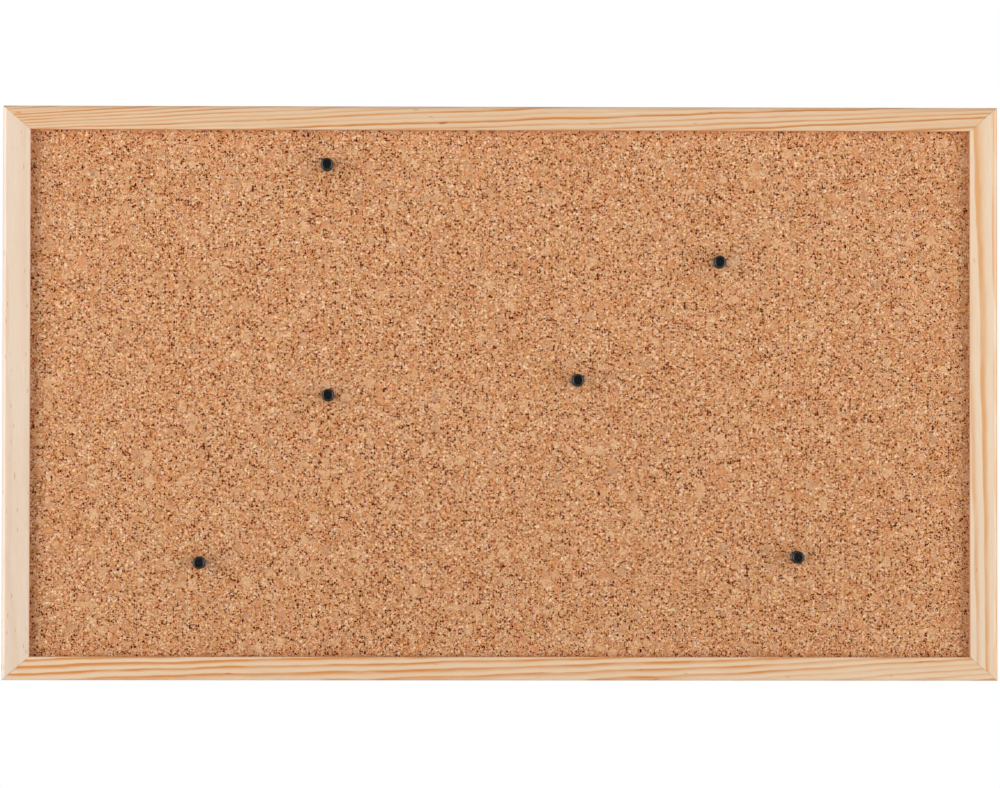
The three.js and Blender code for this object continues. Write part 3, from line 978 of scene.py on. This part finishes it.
def refined_node(node: str, edge: float) -> Shape:
    """Copy a node's solid and round its sharp edges.

    Args:
        node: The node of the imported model.
        edge: Radius of the rounding, in metres.

    Returns:
        The refined shape.
    """
    flat, sharp = math.radians(1.0), math.radians(30.0)
    shape = bmesh.new()
    shape.from_mesh(frame["nodes"][node].data)
    bmesh.ops.remove_doubles(shape, verts=shape.verts, dist=WELD)
    bmesh.ops.dissolve_limit(shape, angle_limit=flat, verts=shape.verts, edges=shape.edges)
    edges = [line for line in shape.edges if line.is_manifold and line.calc_face_angle() > sharp]
    soften(shape, edges, edge, FINE_EDGE_STEPS, clamp=True)
    return shape


@dataclass
class MouldedFrame:
    """Four bars of moulding, mitred at the corners."""

    finishes: dict[Side, PineFinish]
    effects: Effects
    front: float = -18.0 * MM
    lip: float = 5.5 * MM
    rebate: float = 5.0 * MM
    easing_depth: float = 1.3 * MM
    easing_width: float = 2.4 * MM
    easing_profile: float = 0.345
    easing_steps: int = 8
    arris_depth: float = 0.46 * MM
    eased: float = 0.35 * MM
    back_edge: float = 0.6 * MM
    edge_steps: int = 4
    overrun: float = 1.0 * MM
    joint_gap: float = 0.03 * MM
    joint_edge: float = 0.16 * MM
    sanding: float = 0.09 * MM
    sanding_waves: Pair = (26.0, 90.0)
    unsanded_end: float = 20.0 * MM
    loops: int = 70

    def section(self, shape: Shape, face: float, share: float) -> None:
        """Draw the moulding's section, X inwards across the face and Y its depth.

        Args:
            shape: The shape to draw in.
            face: Width of the stile's face.
            share: The bar's width over the stile's.
        """
        stretch = self.easing_width / self.easing_depth
        land = face - self.rebate
        lip_back = self.front + self.lip
        outline = [(0.0, 0.0), (0.0, self.front), (face, self.front)]
        outline += [(face, lip_back), (land, lip_back), (land, 0.0)]
        corners = [shape.verts.new((x / stretch, y, 0.0)) for x, y in outline]
        shape.faces.new(corners)
        rear, outer, inner, lip_edge, _, land_edge = corners
        for corner, depth in ((outer, self.easing_depth), (inner, self.arris_depth)):
            soften(shape, [corner], depth, self.easing_steps, "VERTICES", self.easing_profile)
        bmesh.ops.scale(shape, vec=(stretch, 1.0, 1.0), verts=shape.verts)
        for corner, radius in ((rear, self.back_edge), (lip_edge, self.eased), (land_edge, self.eased)):
            soften(shape, [corner], radius, self.edge_steps, "VERTICES")
        bmesh.ops.scale(shape, vec=(share, 1.0, 1.0), verts=shape.verts)

    def bar(self, side: Side) -> Shape:
        """Shape one bar in its place.

        Args:
            side: Which bar.

        Returns:
            The bar.
        """
        finish = self.finishes[side]
        other = self.finishes[Side.LEFT if side.is_rail else Side.TOP].face
        stile = self.finishes[Side.LEFT].face
        reach = finish.half_length + self.overrun
        shape = bmesh.new()
        self.section(shape, stile, finish.face / stile)
        move(shape, Matrix(((0, 0, 1, -reach), (0, 1, 0, 0), (-1, 0, 0, finish.half_across), (0, 0, 0, 1))))
        grown = bmesh.ops.extrude_face_region(shape, geom=list(shape.faces))
        bmesh.ops.translate(shape, vec=(2 * reach, 0.0, 0.0), verts=corners_of(grown["geom"]))
        for way in (-1, 1):
            cut = bmesh.ops.bisect_plane(
                shape,
                geom=list(shape.verts) + list(shape.edges) + list(shape.faces),
                dist=2 * WELD,
                plane_co=(way * (finish.half_length - self.joint_gap), 0.0, finish.half_across),
                plane_no=Vector((way * finish.face, 0.0, -other)).normalized(),
                clear_outer=True,
            )
            rim = edges_of(cut["geom_cut"])
            bmesh.ops.edgeloop_fill(shape, edges=rim)
            soften(shape, rim, self.joint_edge, FINE_EDGE_STEPS)
        long = [line for line in shape.edges if line.calc_length() > finish.half_length]
        bmesh.ops.subdivide_edges(shape, edges=long, cuts=self.loops, use_grid_fill=False)
        self.sand(shape, finish)
        move(shape, Matrix.Rotation(side.turn, 4, "Y"))
        return shape

    def sand(self, shape: Shape, finish: PineFinish) -> None:
        """Let the rounded front edges wander a little, as after sanding by hand.

        Args:
            shape: The bar, along X.
            finish: The bar's finish, whose seed gives each bar its own wander.
        """
        along, across = self.sanding_waves
        for corner in shape.verts:
            is_front = corner.co.y <= self.front + self.easing_depth
            if is_front and abs(corner.co.x) <= finish.half_length - self.unsanded_end:
                spot = Vector((corner.co.x * along, corner.co.z * across, finish.seed))
                corner.co.y += self.sanding * noise.noise(spot)

    def build(self) -> None:
        """Make and dress the four bars."""
        for side, finish in self.finishes.items():
            piece = make_piece(side.value, self.bar(side), finish.material(self.effects), crease=50.0)
            flatten_shading(piece)
            fit(piece, side.node, "board")


@dataclass
class CorkPanel:
    """The cork sheet, with the pins' holes, on its fibreboard."""

    cork: CorkFinish
    fibre: FibreFinish
    effects: Effects
    spots: Sequence[Vector]
    columns: int = 352
    rows: int = 199
    relief: float = 0.16 * MM
    granules: float = 210.0
    pits: float = 420.0
    pit_seed: float = 7.0
    waves: float = 18.0
    wave_seed: float = 3.0
    # Weights of granules, pits and waves in the relief.
    weights: Triple = (0.55, 0.3, 0.25)
    patch: float = 3.4 * MM
    # Radius of each ring round a hole, and its rise as a share of the rim's.
    rings: Sequence[Pair] = ((2.2 * MM, 0.3), (1.1 * MM, 1.0), (0.62 * MM, 0.7))
    ring_steps: int = 20
    rim_rise: float = 0.12 * MM
    hole_depth: float = 2.4 * MM
    board_edge: float = 0.4 * MM
    board_edge_steps: int = 3
    board_cuts: int = 60
    board_cut_from: float = 100.0 * MM
    board_wave: float = 0.12 * MM
    board_waves: float = 55.0
    board_skin: float = 0.5 * MM

    def height(self, x: float, z: float) -> float:
        """How far the cork's face stands out at a spot.

        Args:
            x: Place across.
            z: Place up.

        Returns:
            The height over the flat face, in metres.
        """
        granule = noise.voronoi(Vector((x * self.granules, 0.0, z * self.granules)))[0][0]
        pit = noise.noise(Vector((x * self.pits, self.pit_seed, z * self.pits)))
        wave = noise.noise(Vector((x * self.waves, self.wave_seed, z * self.waves)))
        values = (0.5 - granule, pit, wave)
        return self.relief * sum(weight * value for weight, value in zip(self.weights, values))

    def open_hole(self, shape: Shape, spot: Vector, face: float) -> None:
        """Open a needle's hole in the sheet, with a slightly raised rim.

        Args:
            shape: The sheet's face, as a grid.
            spot: Where the needle goes in.
            face: Y of the sheet's face.
        """
        near = set()
        for part in shape.faces:
            middle = part.calc_center_median()
            if math.hypot(middle.x - spot.x, middle.z - spot.z) < self.patch:
                near.add(part)
        around = {line for part in near for line in part.edges if not near.issuperset(line.link_faces)}
        bmesh.ops.delete(shape, geom=list(near), context="FACES")
        last = [line for line in around if line.is_valid]
        for radius, rise in self.rings:
            made = bmesh.ops.create_circle(shape, cap_ends=False, segments=self.ring_steps, radius=radius)
            place = placed((spot.x, face - rise * self.rim_rise, spot.z))
            bmesh.ops.transform(shape, matrix=place, verts=made["verts"])
            ring = list({line for corner in made["verts"] for line in corner.link_edges})
            bmesh.ops.bridge_loops(shape, edges=last + ring)
            last = ring
        _, bottom = draw_out(shape, last, (0.0, self.hole_depth, 0.0))
        bmesh.ops.edgeloop_fill(shape, edges=bottom)

    def sheet(self) -> Shape:
        """Shape the cork sheet.

        Returns:
            The sheet, in its place.
        """
        low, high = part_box("cork_sheet")
        middle = (low + high) / 2
        shape = bmesh.new()
        bmesh.ops.create_grid(shape, x_segments=self.columns, y_segments=self.rows, size=0.5)
        size = Matrix.Diagonal((high.x - low.x, high.z - low.z, 1.0, 1.0))
        move(shape, placed((middle.x, low.y, middle.z)) @ size)
        outer = [line for line in shape.edges if line.is_boundary]
        for corner in shape.verts:
            corner.co.y -= self.height(corner.co.x, corner.co.z)
        for spot in self.spots:
            self.open_hole(shape, spot, low.y)
        back, rim = draw_out(shape, outer, (0.0, 0.0, 0.0))
        for corner in back:
            corner.co.y = high.y
        bmesh.ops.edgeloop_fill(shape, edges=rim)
        return shape

    def board(self) -> Shape:
        """Shape the fibreboard.

        Returns:
            The board, in its place.
        """
        low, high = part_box("backing_board")
        shape = bmesh.new()
        bmesh.ops.create_cube(shape, size=1.0)
        bmesh.ops.scale(shape, vec=high - low, verts=shape.verts)
        bmesh.ops.translate(shape, vec=(low + high) / 2, verts=shape.verts)
        soften(shape, list(shape.edges), self.board_edge, self.board_edge_steps)
        long = [line for line in shape.edges if line.calc_length() > self.board_cut_from]
        bmesh.ops.subdivide_edges(shape, edges=long, cuts=self.board_cuts, use_grid_fill=True)
        for corner in shape.verts:
            if corner.co.y > high.y - self.board_skin:
                corner.co.y += self.board_wave * noise.noise(corner.co * self.board_waves)
        return shape

    def build(self) -> None:
        """Make and dress the cork and the fibreboard."""
        sheet = make_piece("cork", self.sheet(), self.cork.material(self.effects), crease=60.0)
        fit(sheet, "cork_sheet", "board")
        board = make_piece("fibreboard", self.board(), self.fibre.material(self.effects))
        fit(board, "backing_board", "board")


@dataclass
class PushPin:
    """A push pin: a turned plastic head on a steel needle."""

    number: int
    plastic: Material
    needle: Material
    height: float = 12.0 * MM
    disc: float = 3.75 * MM
    disc_foot: float = 10.0 * MM
    disc_round: float = 1.5 * MM
    disc_steps: int = 14
    dish: float = 0.25 * MM
    dish_rings: Sequence[float] = (0.95, 0.85, 0.7, 0.5, 0.36)
    gate_mark: Sequence[Pair] = ((0.62 * MM, 0.01 * MM), (0.5 * MM, 0.08 * MM), (0.0, 0.09 * MM))
    waist: float = 2.2 * MM
    grip_foot: float = 2.7 * MM
    grip_top: float = 3.0 * MM
    grip_steps: int = 16
    flange: float = 3.9 * MM
    flange_top: float = 1.3 * MM
    flange_slope: float = 0.6 * MM
    edge: float = 0.35 * MM
    edge_steps: int = 5
    flange_arc: float = 72.0
    disc_foot_arc: float = -65.0
    bore: float = 0.65 * MM
    bore_top: float = 6.1 * MM
    shaft: float = 0.55 * MM
    shaft_top: float = 6.0 * MM
    shaft_edge: float = 0.1 * MM
    taper: Sequence[Pair] = ((0.05 * MM, -7.95 * MM), (0.3 * MM, -6.8 * MM), (0.47 * MM, -6.0 * MM))
    taper_top: float = -5.4 * MM
    point: float = -8.0 * MM
    head_turn: int = 64
    needle_turn: int = 24

    def seat(self) -> Vector:
        """Middle of the flange's seat on the cork."""
        low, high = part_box(f"pin_{self.number}_head")
        return Vector(((low.x + high.x) / 2, high.y, (low.z + high.z) / 2))

    def turned(self, points: Iterable[Pair], steps: int) -> Shape:
        """Turn a profile that stands on the cork.

        Args:
            points: Radius and height over the cork of each point.
            steps: How many steps a full turn has.

        Returns:
            The shape, in its place.
        """
        shape = turn_shape(points, steps)
        move(shape, placed(self.seat()))
        return shape

    def grip(self) -> list[Pair]:
        """Draw the waisted grip as a bow between flange and disc.

        Returns:
            Radius and height of its points, upwards.
        """
        foot = self.flange_top + self.flange_slope
        bow = 2 * self.waist - (self.grip_foot + self.grip_top) / 2
        points = []
        for step in range(self.grip_steps + 1):
            t = step / self.grip_steps
            radius = (1 - t) ** 2 * self.grip_foot + 2 * t * (1 - t) * bow + t * t * self.grip_top
            points.append((radius, foot + (self.disc_foot - foot) * t))
        return points

    def head_shape(self) -> Shape:
        """Turn the head.

        Returns:
            The head, in its place.
        """
        edge, steps = self.edge, self.edge_steps
        crown = self.height - self.dish
        flat = self.disc - self.disc_round
        points = [
            (0.0, self.bore_top),
            (self.bore, self.bore_top),
            (self.bore, 0.0),
            *rounded((self.flange - edge, edge), edge, -90, 0, steps),
            *rounded((self.flange - edge, self.flange_top - edge), edge, 0, self.flange_arc, steps),
            *self.grip(),
            *rounded((self.disc - edge, self.disc_foot + edge), edge, self.disc_foot_arc, 0, steps),
            *rounded((flat, self.height - self.disc_round), self.disc_round, 0, 90, self.disc_steps),
            *((share * flat, crown + self.dish * share * share) for share in self.dish_rings),
            *((radius, crown + rise) for radius, rise in self.gate_mark),
        ]
        return self.turned(points, self.head_turn)

    def needle_shape(self) -> Shape:
        """Turn the needle.

        Returns:
            The needle, in its place.
        """
        points = [
            (0.0, self.point),
            *self.taper,
            (self.shaft, self.taper_top),
            (self.shaft, self.shaft_top - self.shaft_edge),
            (self.shaft - self.shaft_edge, self.shaft_top),
            (0.0, self.shaft_top),
        ]
        return self.turned(points, self.needle_turn)

    def build(self) -> None:
        """Make and dress the pin."""
        body = f"pin_{self.number}"
        head = make_piece(f"push_{body}", self.head_shape(), self.plastic, crease=50.0)
        fit(head, f"{body}_head", body)
        needle = make_piece(f"push_{body}_needle", self.needle_shape(), self.needle, crease=50.0)
        fit(needle, f"{body}_needle", body)


@dataclass
class FrameFixings:
    """Corner nails and framer's points on the back of the frame."""

    zinc: Material
    edge: float = 0.09 * MM

    def build(self) -> None:
        """Round the edges of each fixing and dress it."""
        for node in sorted(frame["nodes"]):
            if node.startswith(("corner_nail", "panel_point")):
                piece = make_piece(f"plated_{node}", refined_node(node, self.edge), self.zinc)
                fit(piece, node, "board")


@dataclass
class StrapHanger:
    """A strap with a rolled eye, the D ring that swings in it, and its screw."""

    hand: Hand
    zinc: Material
    strap_edge: float = 0.12 * MM
    lean: float = math.radians(5.683)
    wire: float = 0.8 * MM
    wire_sides: int = 18
    half_width: float = 4.6 * MM
    corner: float = 1.0 * MM
    corner_steps: int = 8
    crown_steps: int = 36
    leg: float = 4.0 * MM
    butt: float = 0.25 * MM
    head: float = 2.7 * MM
    head_edge: float = 0.15 * MM
    rim: float = 0.5 * MM
    rise: float = 1.3 * MM
    dome_steps: int = 12
    shank: float = 1.3 * MM
    neck: float = 0.1 * MM
    length: float = 11.0 * MM
    threads: int = 9
    thread_start: float = 2.6 * MM
    thread_pitch: float = 0.9 * MM
    thread_depth: float = 0.35 * MM
    thread_width: float = 0.6 * MM
    screw_steps: int = 40
    screw_turn: float = 0.5
    cross_over_rim: float = 0.05 * MM
    cross_half: float = 0.32 * MM
    cross_reach: float = 1.35 * MM
    cross_depth: float = 1.0 * MM
    cross_slope: float = 0.55

    def pivot(self) -> Vector:
        """Middle of the ring's bar."""
        joint = next(entry for entry in frame["joints"] if entry["name"] == f"{self.hand.value}_ring_swing")
        return Vector(joint["pos_m"])

    def bend(self, shape: Shape, tip: list[Edge], centre: Triple, angle: float, steps: int) -> list[Edge]:
        """Bend the ring's wire about a centre.

        Args:
            shape: The ring so far.
            tip: The edges of the wire's end.
            centre: Centre of the bend.
            angle: Its angle, in radians.
            steps: How many steps it has.

        Returns:
            The edges of the wire's new end.
        """
        loop = tip + list({end for line in tip for end in line.verts})
        spun = bmesh.ops.spin(
            shape,
            geom=loop,
            cent=centre,
            axis=(0.0, -1.0, 0.0),
            angle=angle,
            steps=steps,
            use_merge=False,
        )
        return edges_of(spun["geom_last"])

    def ring_shape(self) -> Shape:
        """Bend the ring's wire from the middle of its bar, round both corners and over the top.

        Returns:
            The ring, in its place.
        """
        inner = self.half_width - self.corner
        half_bar = (inner - self.butt, 0.0, 0.0)
        shape = bmesh.new()
        bmesh.ops.create_circle(shape, cap_ends=True, segments=self.wire_sides, radius=self.wire)
        move(shape, placed((self.butt, 0.0, 0.0), axis="Y"))
        _, tip = draw_out(shape, list(shape.edges), half_bar)
        tip = self.bend(shape, tip, (inner, 0.0, self.corner), QUARTER_TURN, self.corner_steps)
        _, tip = draw_out(shape, tip, (0.0, 0.0, self.leg))
        tip = self.bend(shape, tip, (0.0, 0.0, self.corner + self.leg), math.pi, self.crown_steps)
        _, tip = draw_out(shape, tip, (0.0, 0.0, -self.leg))
        tip = self.bend(shape, tip, (-inner, 0.0, self.corner), QUARTER_TURN, self.corner_steps)
        _, tip = draw_out(shape, tip, half_bar)
        bmesh.ops.edgeloop_fill(shape, edges=tip)
        move(shape, placed(self.pivot(), self.lean))
        return shape

    def screw_shape(self) -> Shape:
        """Turn the screw and sink a cross in its head.

        Returns:
            The screw, in its place.
        """
        low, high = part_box(f"hanger_screw_{self.hand.value}")
        top = self.rim + self.rise
        seat = ((low.x + high.x) / 2, high.y - top, (low.z + high.z) / 2)
        root = self.shank - self.thread_depth
        thread = []
        for turn in range(self.threads):
            foot = self.thread_start - self.length + turn * self.thread_pitch
            crest = (self.shank, foot + self.thread_depth)
            thread += [(root, foot), crest, (root, foot + self.thread_width)]
        angles = [QUARTER_TURN * step / self.dome_steps for step in range(1, self.dome_steps)]
        points = [
            (0.0, -self.length),
            *thread,
            (self.shank - self.neck, -self.neck),
            (self.shank, 0.0),
            (self.head - self.head_edge, 0.0),
            (self.head, self.head_edge),
            (self.head, self.rim),
            *((self.head * math.cos(angle), self.rim + self.rise * math.sin(angle)) for angle in angles),
            (0.0, top),
        ]
        shape = turn_shape(points, self.screw_steps)
        self.sink_cross(shape, self.rim + self.cross_over_rim)
        move(shape, placed(seat, -QUARTER_TURN) @ Matrix.Rotation(self.screw_turn, 4, "Z"))
        return shape

    def sink_cross(self, shape: Shape, level: float) -> None:
        """Cut the driver's cross into the head of a screw that stands along Z.

        Args:
            shape: The screw.
            level: Height above which the dome begins.
        """
        half, reach = self.cross_half, self.cross_reach
        for axis in (Vector((1.0, 0.0, 0.0)), Vector((0.0, 1.0, 0.0))):
            for offset in (-reach, -half, half, reach):
                dome = [part for part in shape.faces if min(corner.co.z for corner in part.verts) > level]
                parts = dome + list({line for part in dome for line in part.edges})
                parts += list({corner for part in dome for corner in part.verts})
                bmesh.ops.bisect_plane(shape, geom=parts, dist=WELD, plane_co=axis * offset, plane_no=axis)
        chosen = []
        for part in shape.faces:
            middle = part.calc_center_median()
            narrow, wide = sorted((abs(middle.x), abs(middle.y)))
            if middle.z > level and narrow < half and wide < reach:
                chosen.append(part)
        sunk = bmesh.ops.extrude_face_region(shape, geom=chosen)
        bmesh.ops.delete(shape, geom=[part for part in chosen if part.is_valid], context="FACES_ONLY")
        for corner in corners_of(sunk["geom"]):
            spread = math.hypot(corner.co.x, corner.co.y) / reach
            corner.co.z -= self.cross_depth * (1.0 - self.cross_slope * spread)

    def build(self) -> None:
        """Make and dress the hanger."""
        name = self.hand.value
        strap_node = f"hanger_strap_{name}"
        plate = refined_node(strap_node, self.strap_edge)
        strap = make_piece(f"strap_{name}", plate, self.zinc, crease=35.0)
        flatten_shading(strap)
        fit(strap, strap_node, "board")
        ring = make_piece(f"ring_{name}", self.ring_shape(), self.zinc, crease=60.0)
        fit(ring, f"hanger_ring_{name}", f"{name}_ring")
        screw = make_piece(f"screw_{name}", self.screw_shape(), self.zinc, crease=35.0)
        fit(screw, f"hanger_screw_{name}", "board")


@dataclass
class Studio:
    """Pale floor, side lamps, white surroundings and the camera."""

    floor_level: float = -0.46
    floor_radius: float = 1.25
    floor_steps: int = 96
    floor_fade: Pair = (0.45, 0.98)
    floor_mottle: float = 6.0
    floor_tones: tuple[Triple, Triple] = ((0.86, 0.86, 0.85), (0.9, 0.9, 0.89))
    floor_lift: float = 0.28
    lamp_side: float = 2.18
    lamp_front: float = 1.63
    lamp_level: float = 0.1
    lamp_width: float = 2.0
    lamp_height: float = 3.6
    lamp_aim: float = 0.7
    lamp_power: float = 76.2
    left_share: float = 1.06
    back_side: float = 1.2
    back_away: float = 2.45
    back_share: float = 0.55
    fill: float = 0.14
    front_fade: Pair = (-0.9, -0.6)
    dim_front: float = 0.1
    back_fade: Pair = (0.2, 0.8)
    dim_back: float = 0.7
    distance: float = 3.0
    sensor: float = 36.0
    pixels_per_metre: float = 1658.0
    scale_plane: float = -15.6 * MM
    aside: float = -49.5 * MM
    rise: float = -61.0 * MM
    pitch: float = 0.0203
    yaw: float = -0.0165
    roll: float = -0.0013
    far_end: float = 20.0

    def floor(self) -> None:
        """Lay a round floor that looks pale, keeps the board's shadow and fades out at its rim."""
        shape = bmesh.new()
        bmesh.ops.create_circle(shape, cap_ends=True, segments=self.floor_steps, radius=self.floor_radius)
        bmesh.ops.translate(shape, vec=(0.0, 0.0, self.floor_level), verts=shape.verts)
        material = bpy.data.materials.new("pale_floor")
        material.use_nodes = True
        graph = Graph(material.node_tree)
        place = graph.node("TexCoord").outputs["Object"]
        x, y, _ = graph.split(place)
        radius = graph.math("SQRT", graph.lift(x, x, graph.times(y, y)))
        fade = graph.remap(radius, *(share * self.floor_radius for share in self.floor_fade))
        mottle = graph.noise(place, self.floor_mottle, detail=2.0)[0]
        diffuse = graph.node("BsdfDiffuse", graph.mix(mottle, *self.floor_tones))
        path = graph.node("LightPath").outputs
        seen = graph.math("MAXIMUM", path["Is Camera Ray"], path["Is Glossy Ray"])
        glow = graph.node("Emission", WHITE, graph.times(seen, self.floor_lift))
        pale = graph.node("AddShader", diffuse.outputs[0], glow.outputs[0])
        clear = graph.node("BsdfTransparent")
        blend = graph.node("MixShader", fade, pale.outputs[0], clear.outputs[0])
        graph.node("OutputMaterial", blend.outputs[0])
        make_piece("floor", shape, material)

    def lamps(self) -> None:
        """Hang a large soft lamp on each side in front of the board, and weaker ones behind it."""
        places = {
            "front_left": (-self.lamp_side, -self.lamp_front, self.left_share),
            "front_right": (self.lamp_side, -self.lamp_front, 2.0 - self.left_share),
            "back_left": (-self.back_side, self.back_away, self.back_share),
            "back_right": (self.back_side, self.back_away, self.back_share),
        }
        for name, (x, y, share) in places.items():
            light = bpy.data.lights.new(f"lamp_{name}", "AREA")
            light.shape = "RECTANGLE"
            light.size = self.lamp_width
            light.size_y = self.lamp_height
            light.energy = self.lamp_power * share
            lamp = add_object(light.name, light)
            lamp.location = (x, y, self.lamp_level)
            lamp.visible_glossy = y < 0.0
            aim = Vector((0.0, 0.0, self.lamp_aim)) - lamp.location
            lamp.rotation_euler = aim.to_track_quat("-Z", "Y").to_euler()

    def world(self) -> None:
        """White surroundings, dimmer in reflections of front and back, with a weak fill for the rest."""
        world = bpy.data.worlds.new("white_studio")
        bpy.context.scene.world = world
        world.use_nodes = True
        graph = Graph(world.node_tree)
        path = graph.node("LightPath").outputs
        mirror = graph.math("MAXIMUM", path["Is Glossy Ray"], path["Is Transmission Ray"])
        seen = graph.math("MAXIMUM", path["Is Camera Ray"], mirror)
        _, ahead, _ = graph.split(graph.node("TexCoord").outputs["Generated"])
        front = graph.remap(ahead, *self.front_fade, self.dim_front, 1.0)
        back = graph.remap(ahead, *self.back_fade, 1.0, self.dim_back)
        level = graph.math("MAXIMUM", path["Is Camera Ray"], graph.times(front, back))
        weak = graph.node("Background", WHITE, self.fill)
        white = graph.node("Background", WHITE, level)
        blend = graph.node("MixShader", seen, weak.outputs[0], white.outputs[0])
        graph.node("OutputWorld", blend.outputs[0])

    def camera(self) -> None:
        """Set the camera in front of the board, a little below its middle."""
        data = bpy.data.cameras.new("front_camera")
        data.sensor_fit = "HORIZONTAL"
        data.sensor_width = self.sensor
        depth = (self.distance + self.scale_plane) / math.cos(self.pitch)
        data.lens = self.sensor * depth * self.pixels_per_metre / IMAGE_WIDTH
        data.clip_end = self.far_end
        camera = add_object(data.name, data)
        camera.location = (self.aside, -self.distance, self.rise)
        camera.rotation_euler = (QUARTER_TURN + self.pitch, self.roll, self.yaw)
        bpy.context.scene.camera = camera

    def build(self) -> None:
        """Set up the studio."""
        self.floor()
        self.lamps()
        self.world()
        self.camera()
        bpy.context.scene.view_settings.view_transform = "Standard"


STILE_SIZE = {"half_length": 0.173, "half_across": 0.3, "face": 0.0166}
BAR_LOOKS = {
    # The top rail's colours are darker than the bottom rail's: painted shade that evens out the lamps
    # lighting the top more.
    Side.TOP: {
        "rings": Rings(
            start=4.0, u=4.14, v=4.65, depth=1.5, uv=-1.19, uu=-2.3, uuv=2.59, uuu=1.33, vv=-0.32
        ),
        "early": srgb(223, 192, 158),
        "late": srgb(206, 135, 74),
        "warm": srgb(221, 182, 141),
        "seed": 85316.0,
        "pocket": (-0.118, 0.713),
    },
    Side.BOTTOM: {
        "rings": Rings(
            start=-1.93, u=2.2, v=2.72, depth=1.5, uv=-0.3, uu=-1.46, uuv=0.63, uuu=1.08, vv=0.57
        ),
        "early": srgb(231, 202, 170),
        "late": srgb(214, 142, 78),
        "warm": srgb(229, 192, 152),
        "seed": 312.0,
    },
    # Both stiles are paler and less orange than the rails: partly their own wood, partly a painted sheen of
    # the side lamps across their upright fibres.
    Side.LEFT: {
        "rings": Rings(start=0.2, u=0.4, v=1.4, depth=2.5),
        "early": srgb(228, 206, 185),
        "late": srgb(214, 170, 134),
        "warm": srgb(226, 200, 175),
        "seed": 5.0,
        "contrast": 0.2,
        "ducts": 0.3,
        **STILE_SIZE,
    },
    Side.RIGHT: {
        "rings": Rings(start=2.34, u=-0.02, v=2.27, depth=2.5, uv=0.91),
        "early": srgb(232, 208, 181),
        "late": srgb(222, 167, 114),
        "warm": srgb(231, 201, 169),
        "seed": 1319.0,
        "contrast": 0.9,
        "wander": 0.5,
        **STILE_SIZE,
    },
}


def bar_finish(side: Side) -> PineFinish:
    """The finish of one bar, with its own rings."""
    slot = "pine_rail" if side.is_rail else "pine_stile"
    return PineFinish(f"pine_{side.value}", slot, side, **BAR_LOOKS[side])


def main() -> None:
    """Build the studio and each sub-assembly in order."""
    logging.basicConfig(level=logging.INFO, format="%(message)s")
    effects = Effects()
    Studio().build()
    zinc = SteelFinish(
        "bright_zinc",
        Steel.ZINC.value,
        base=(0.55, 0.56, 0.58),
        dull=(0.42, 0.43, 0.44),
        roughness=0.26,
        stretch=(900.0, 900.0, 120.0),
    ).material(effects)
    nickel = SteelFinish(
        "needle_nickel",
        Steel.NEEDLE.value,
        base=(0.62, 0.6, 0.57),
        dull=(0.5, 0.48, 0.45),
        roughness=0.16,
        stretch=(900.0, 160.0, 900.0),
    ).material(effects)
    plastic = PlasticFinish(
        "black_gloss", "black_plastic", base=(0.006, 0.0062, 0.0068), worn=(0.011, 0.0115, 0.0125)
    ).material(effects)
    cork = CorkFinish("fine_cork", "cork")
    fibre = FibreFinish(
        "soft_fibreboard", "fibreboard", base=(0.20, 0.112, 0.058), pale=(0.33, 0.205, 0.115)
    )

    MouldedFrame({side: bar_finish(side) for side in Side}, effects).build()
    pins = [PushPin(number + 1, plastic, nickel) for number in range(PIN_COUNT)]
    CorkPanel(cork, fibre, effects, [pin.seat() for pin in pins]).build()
    for pin in pins:
        pin.build()
    FrameFixings(zinc).build()
    for hand in Hand:
        StrapHanger(hand, zinc).build()


if __name__ == "__main__":
    main()
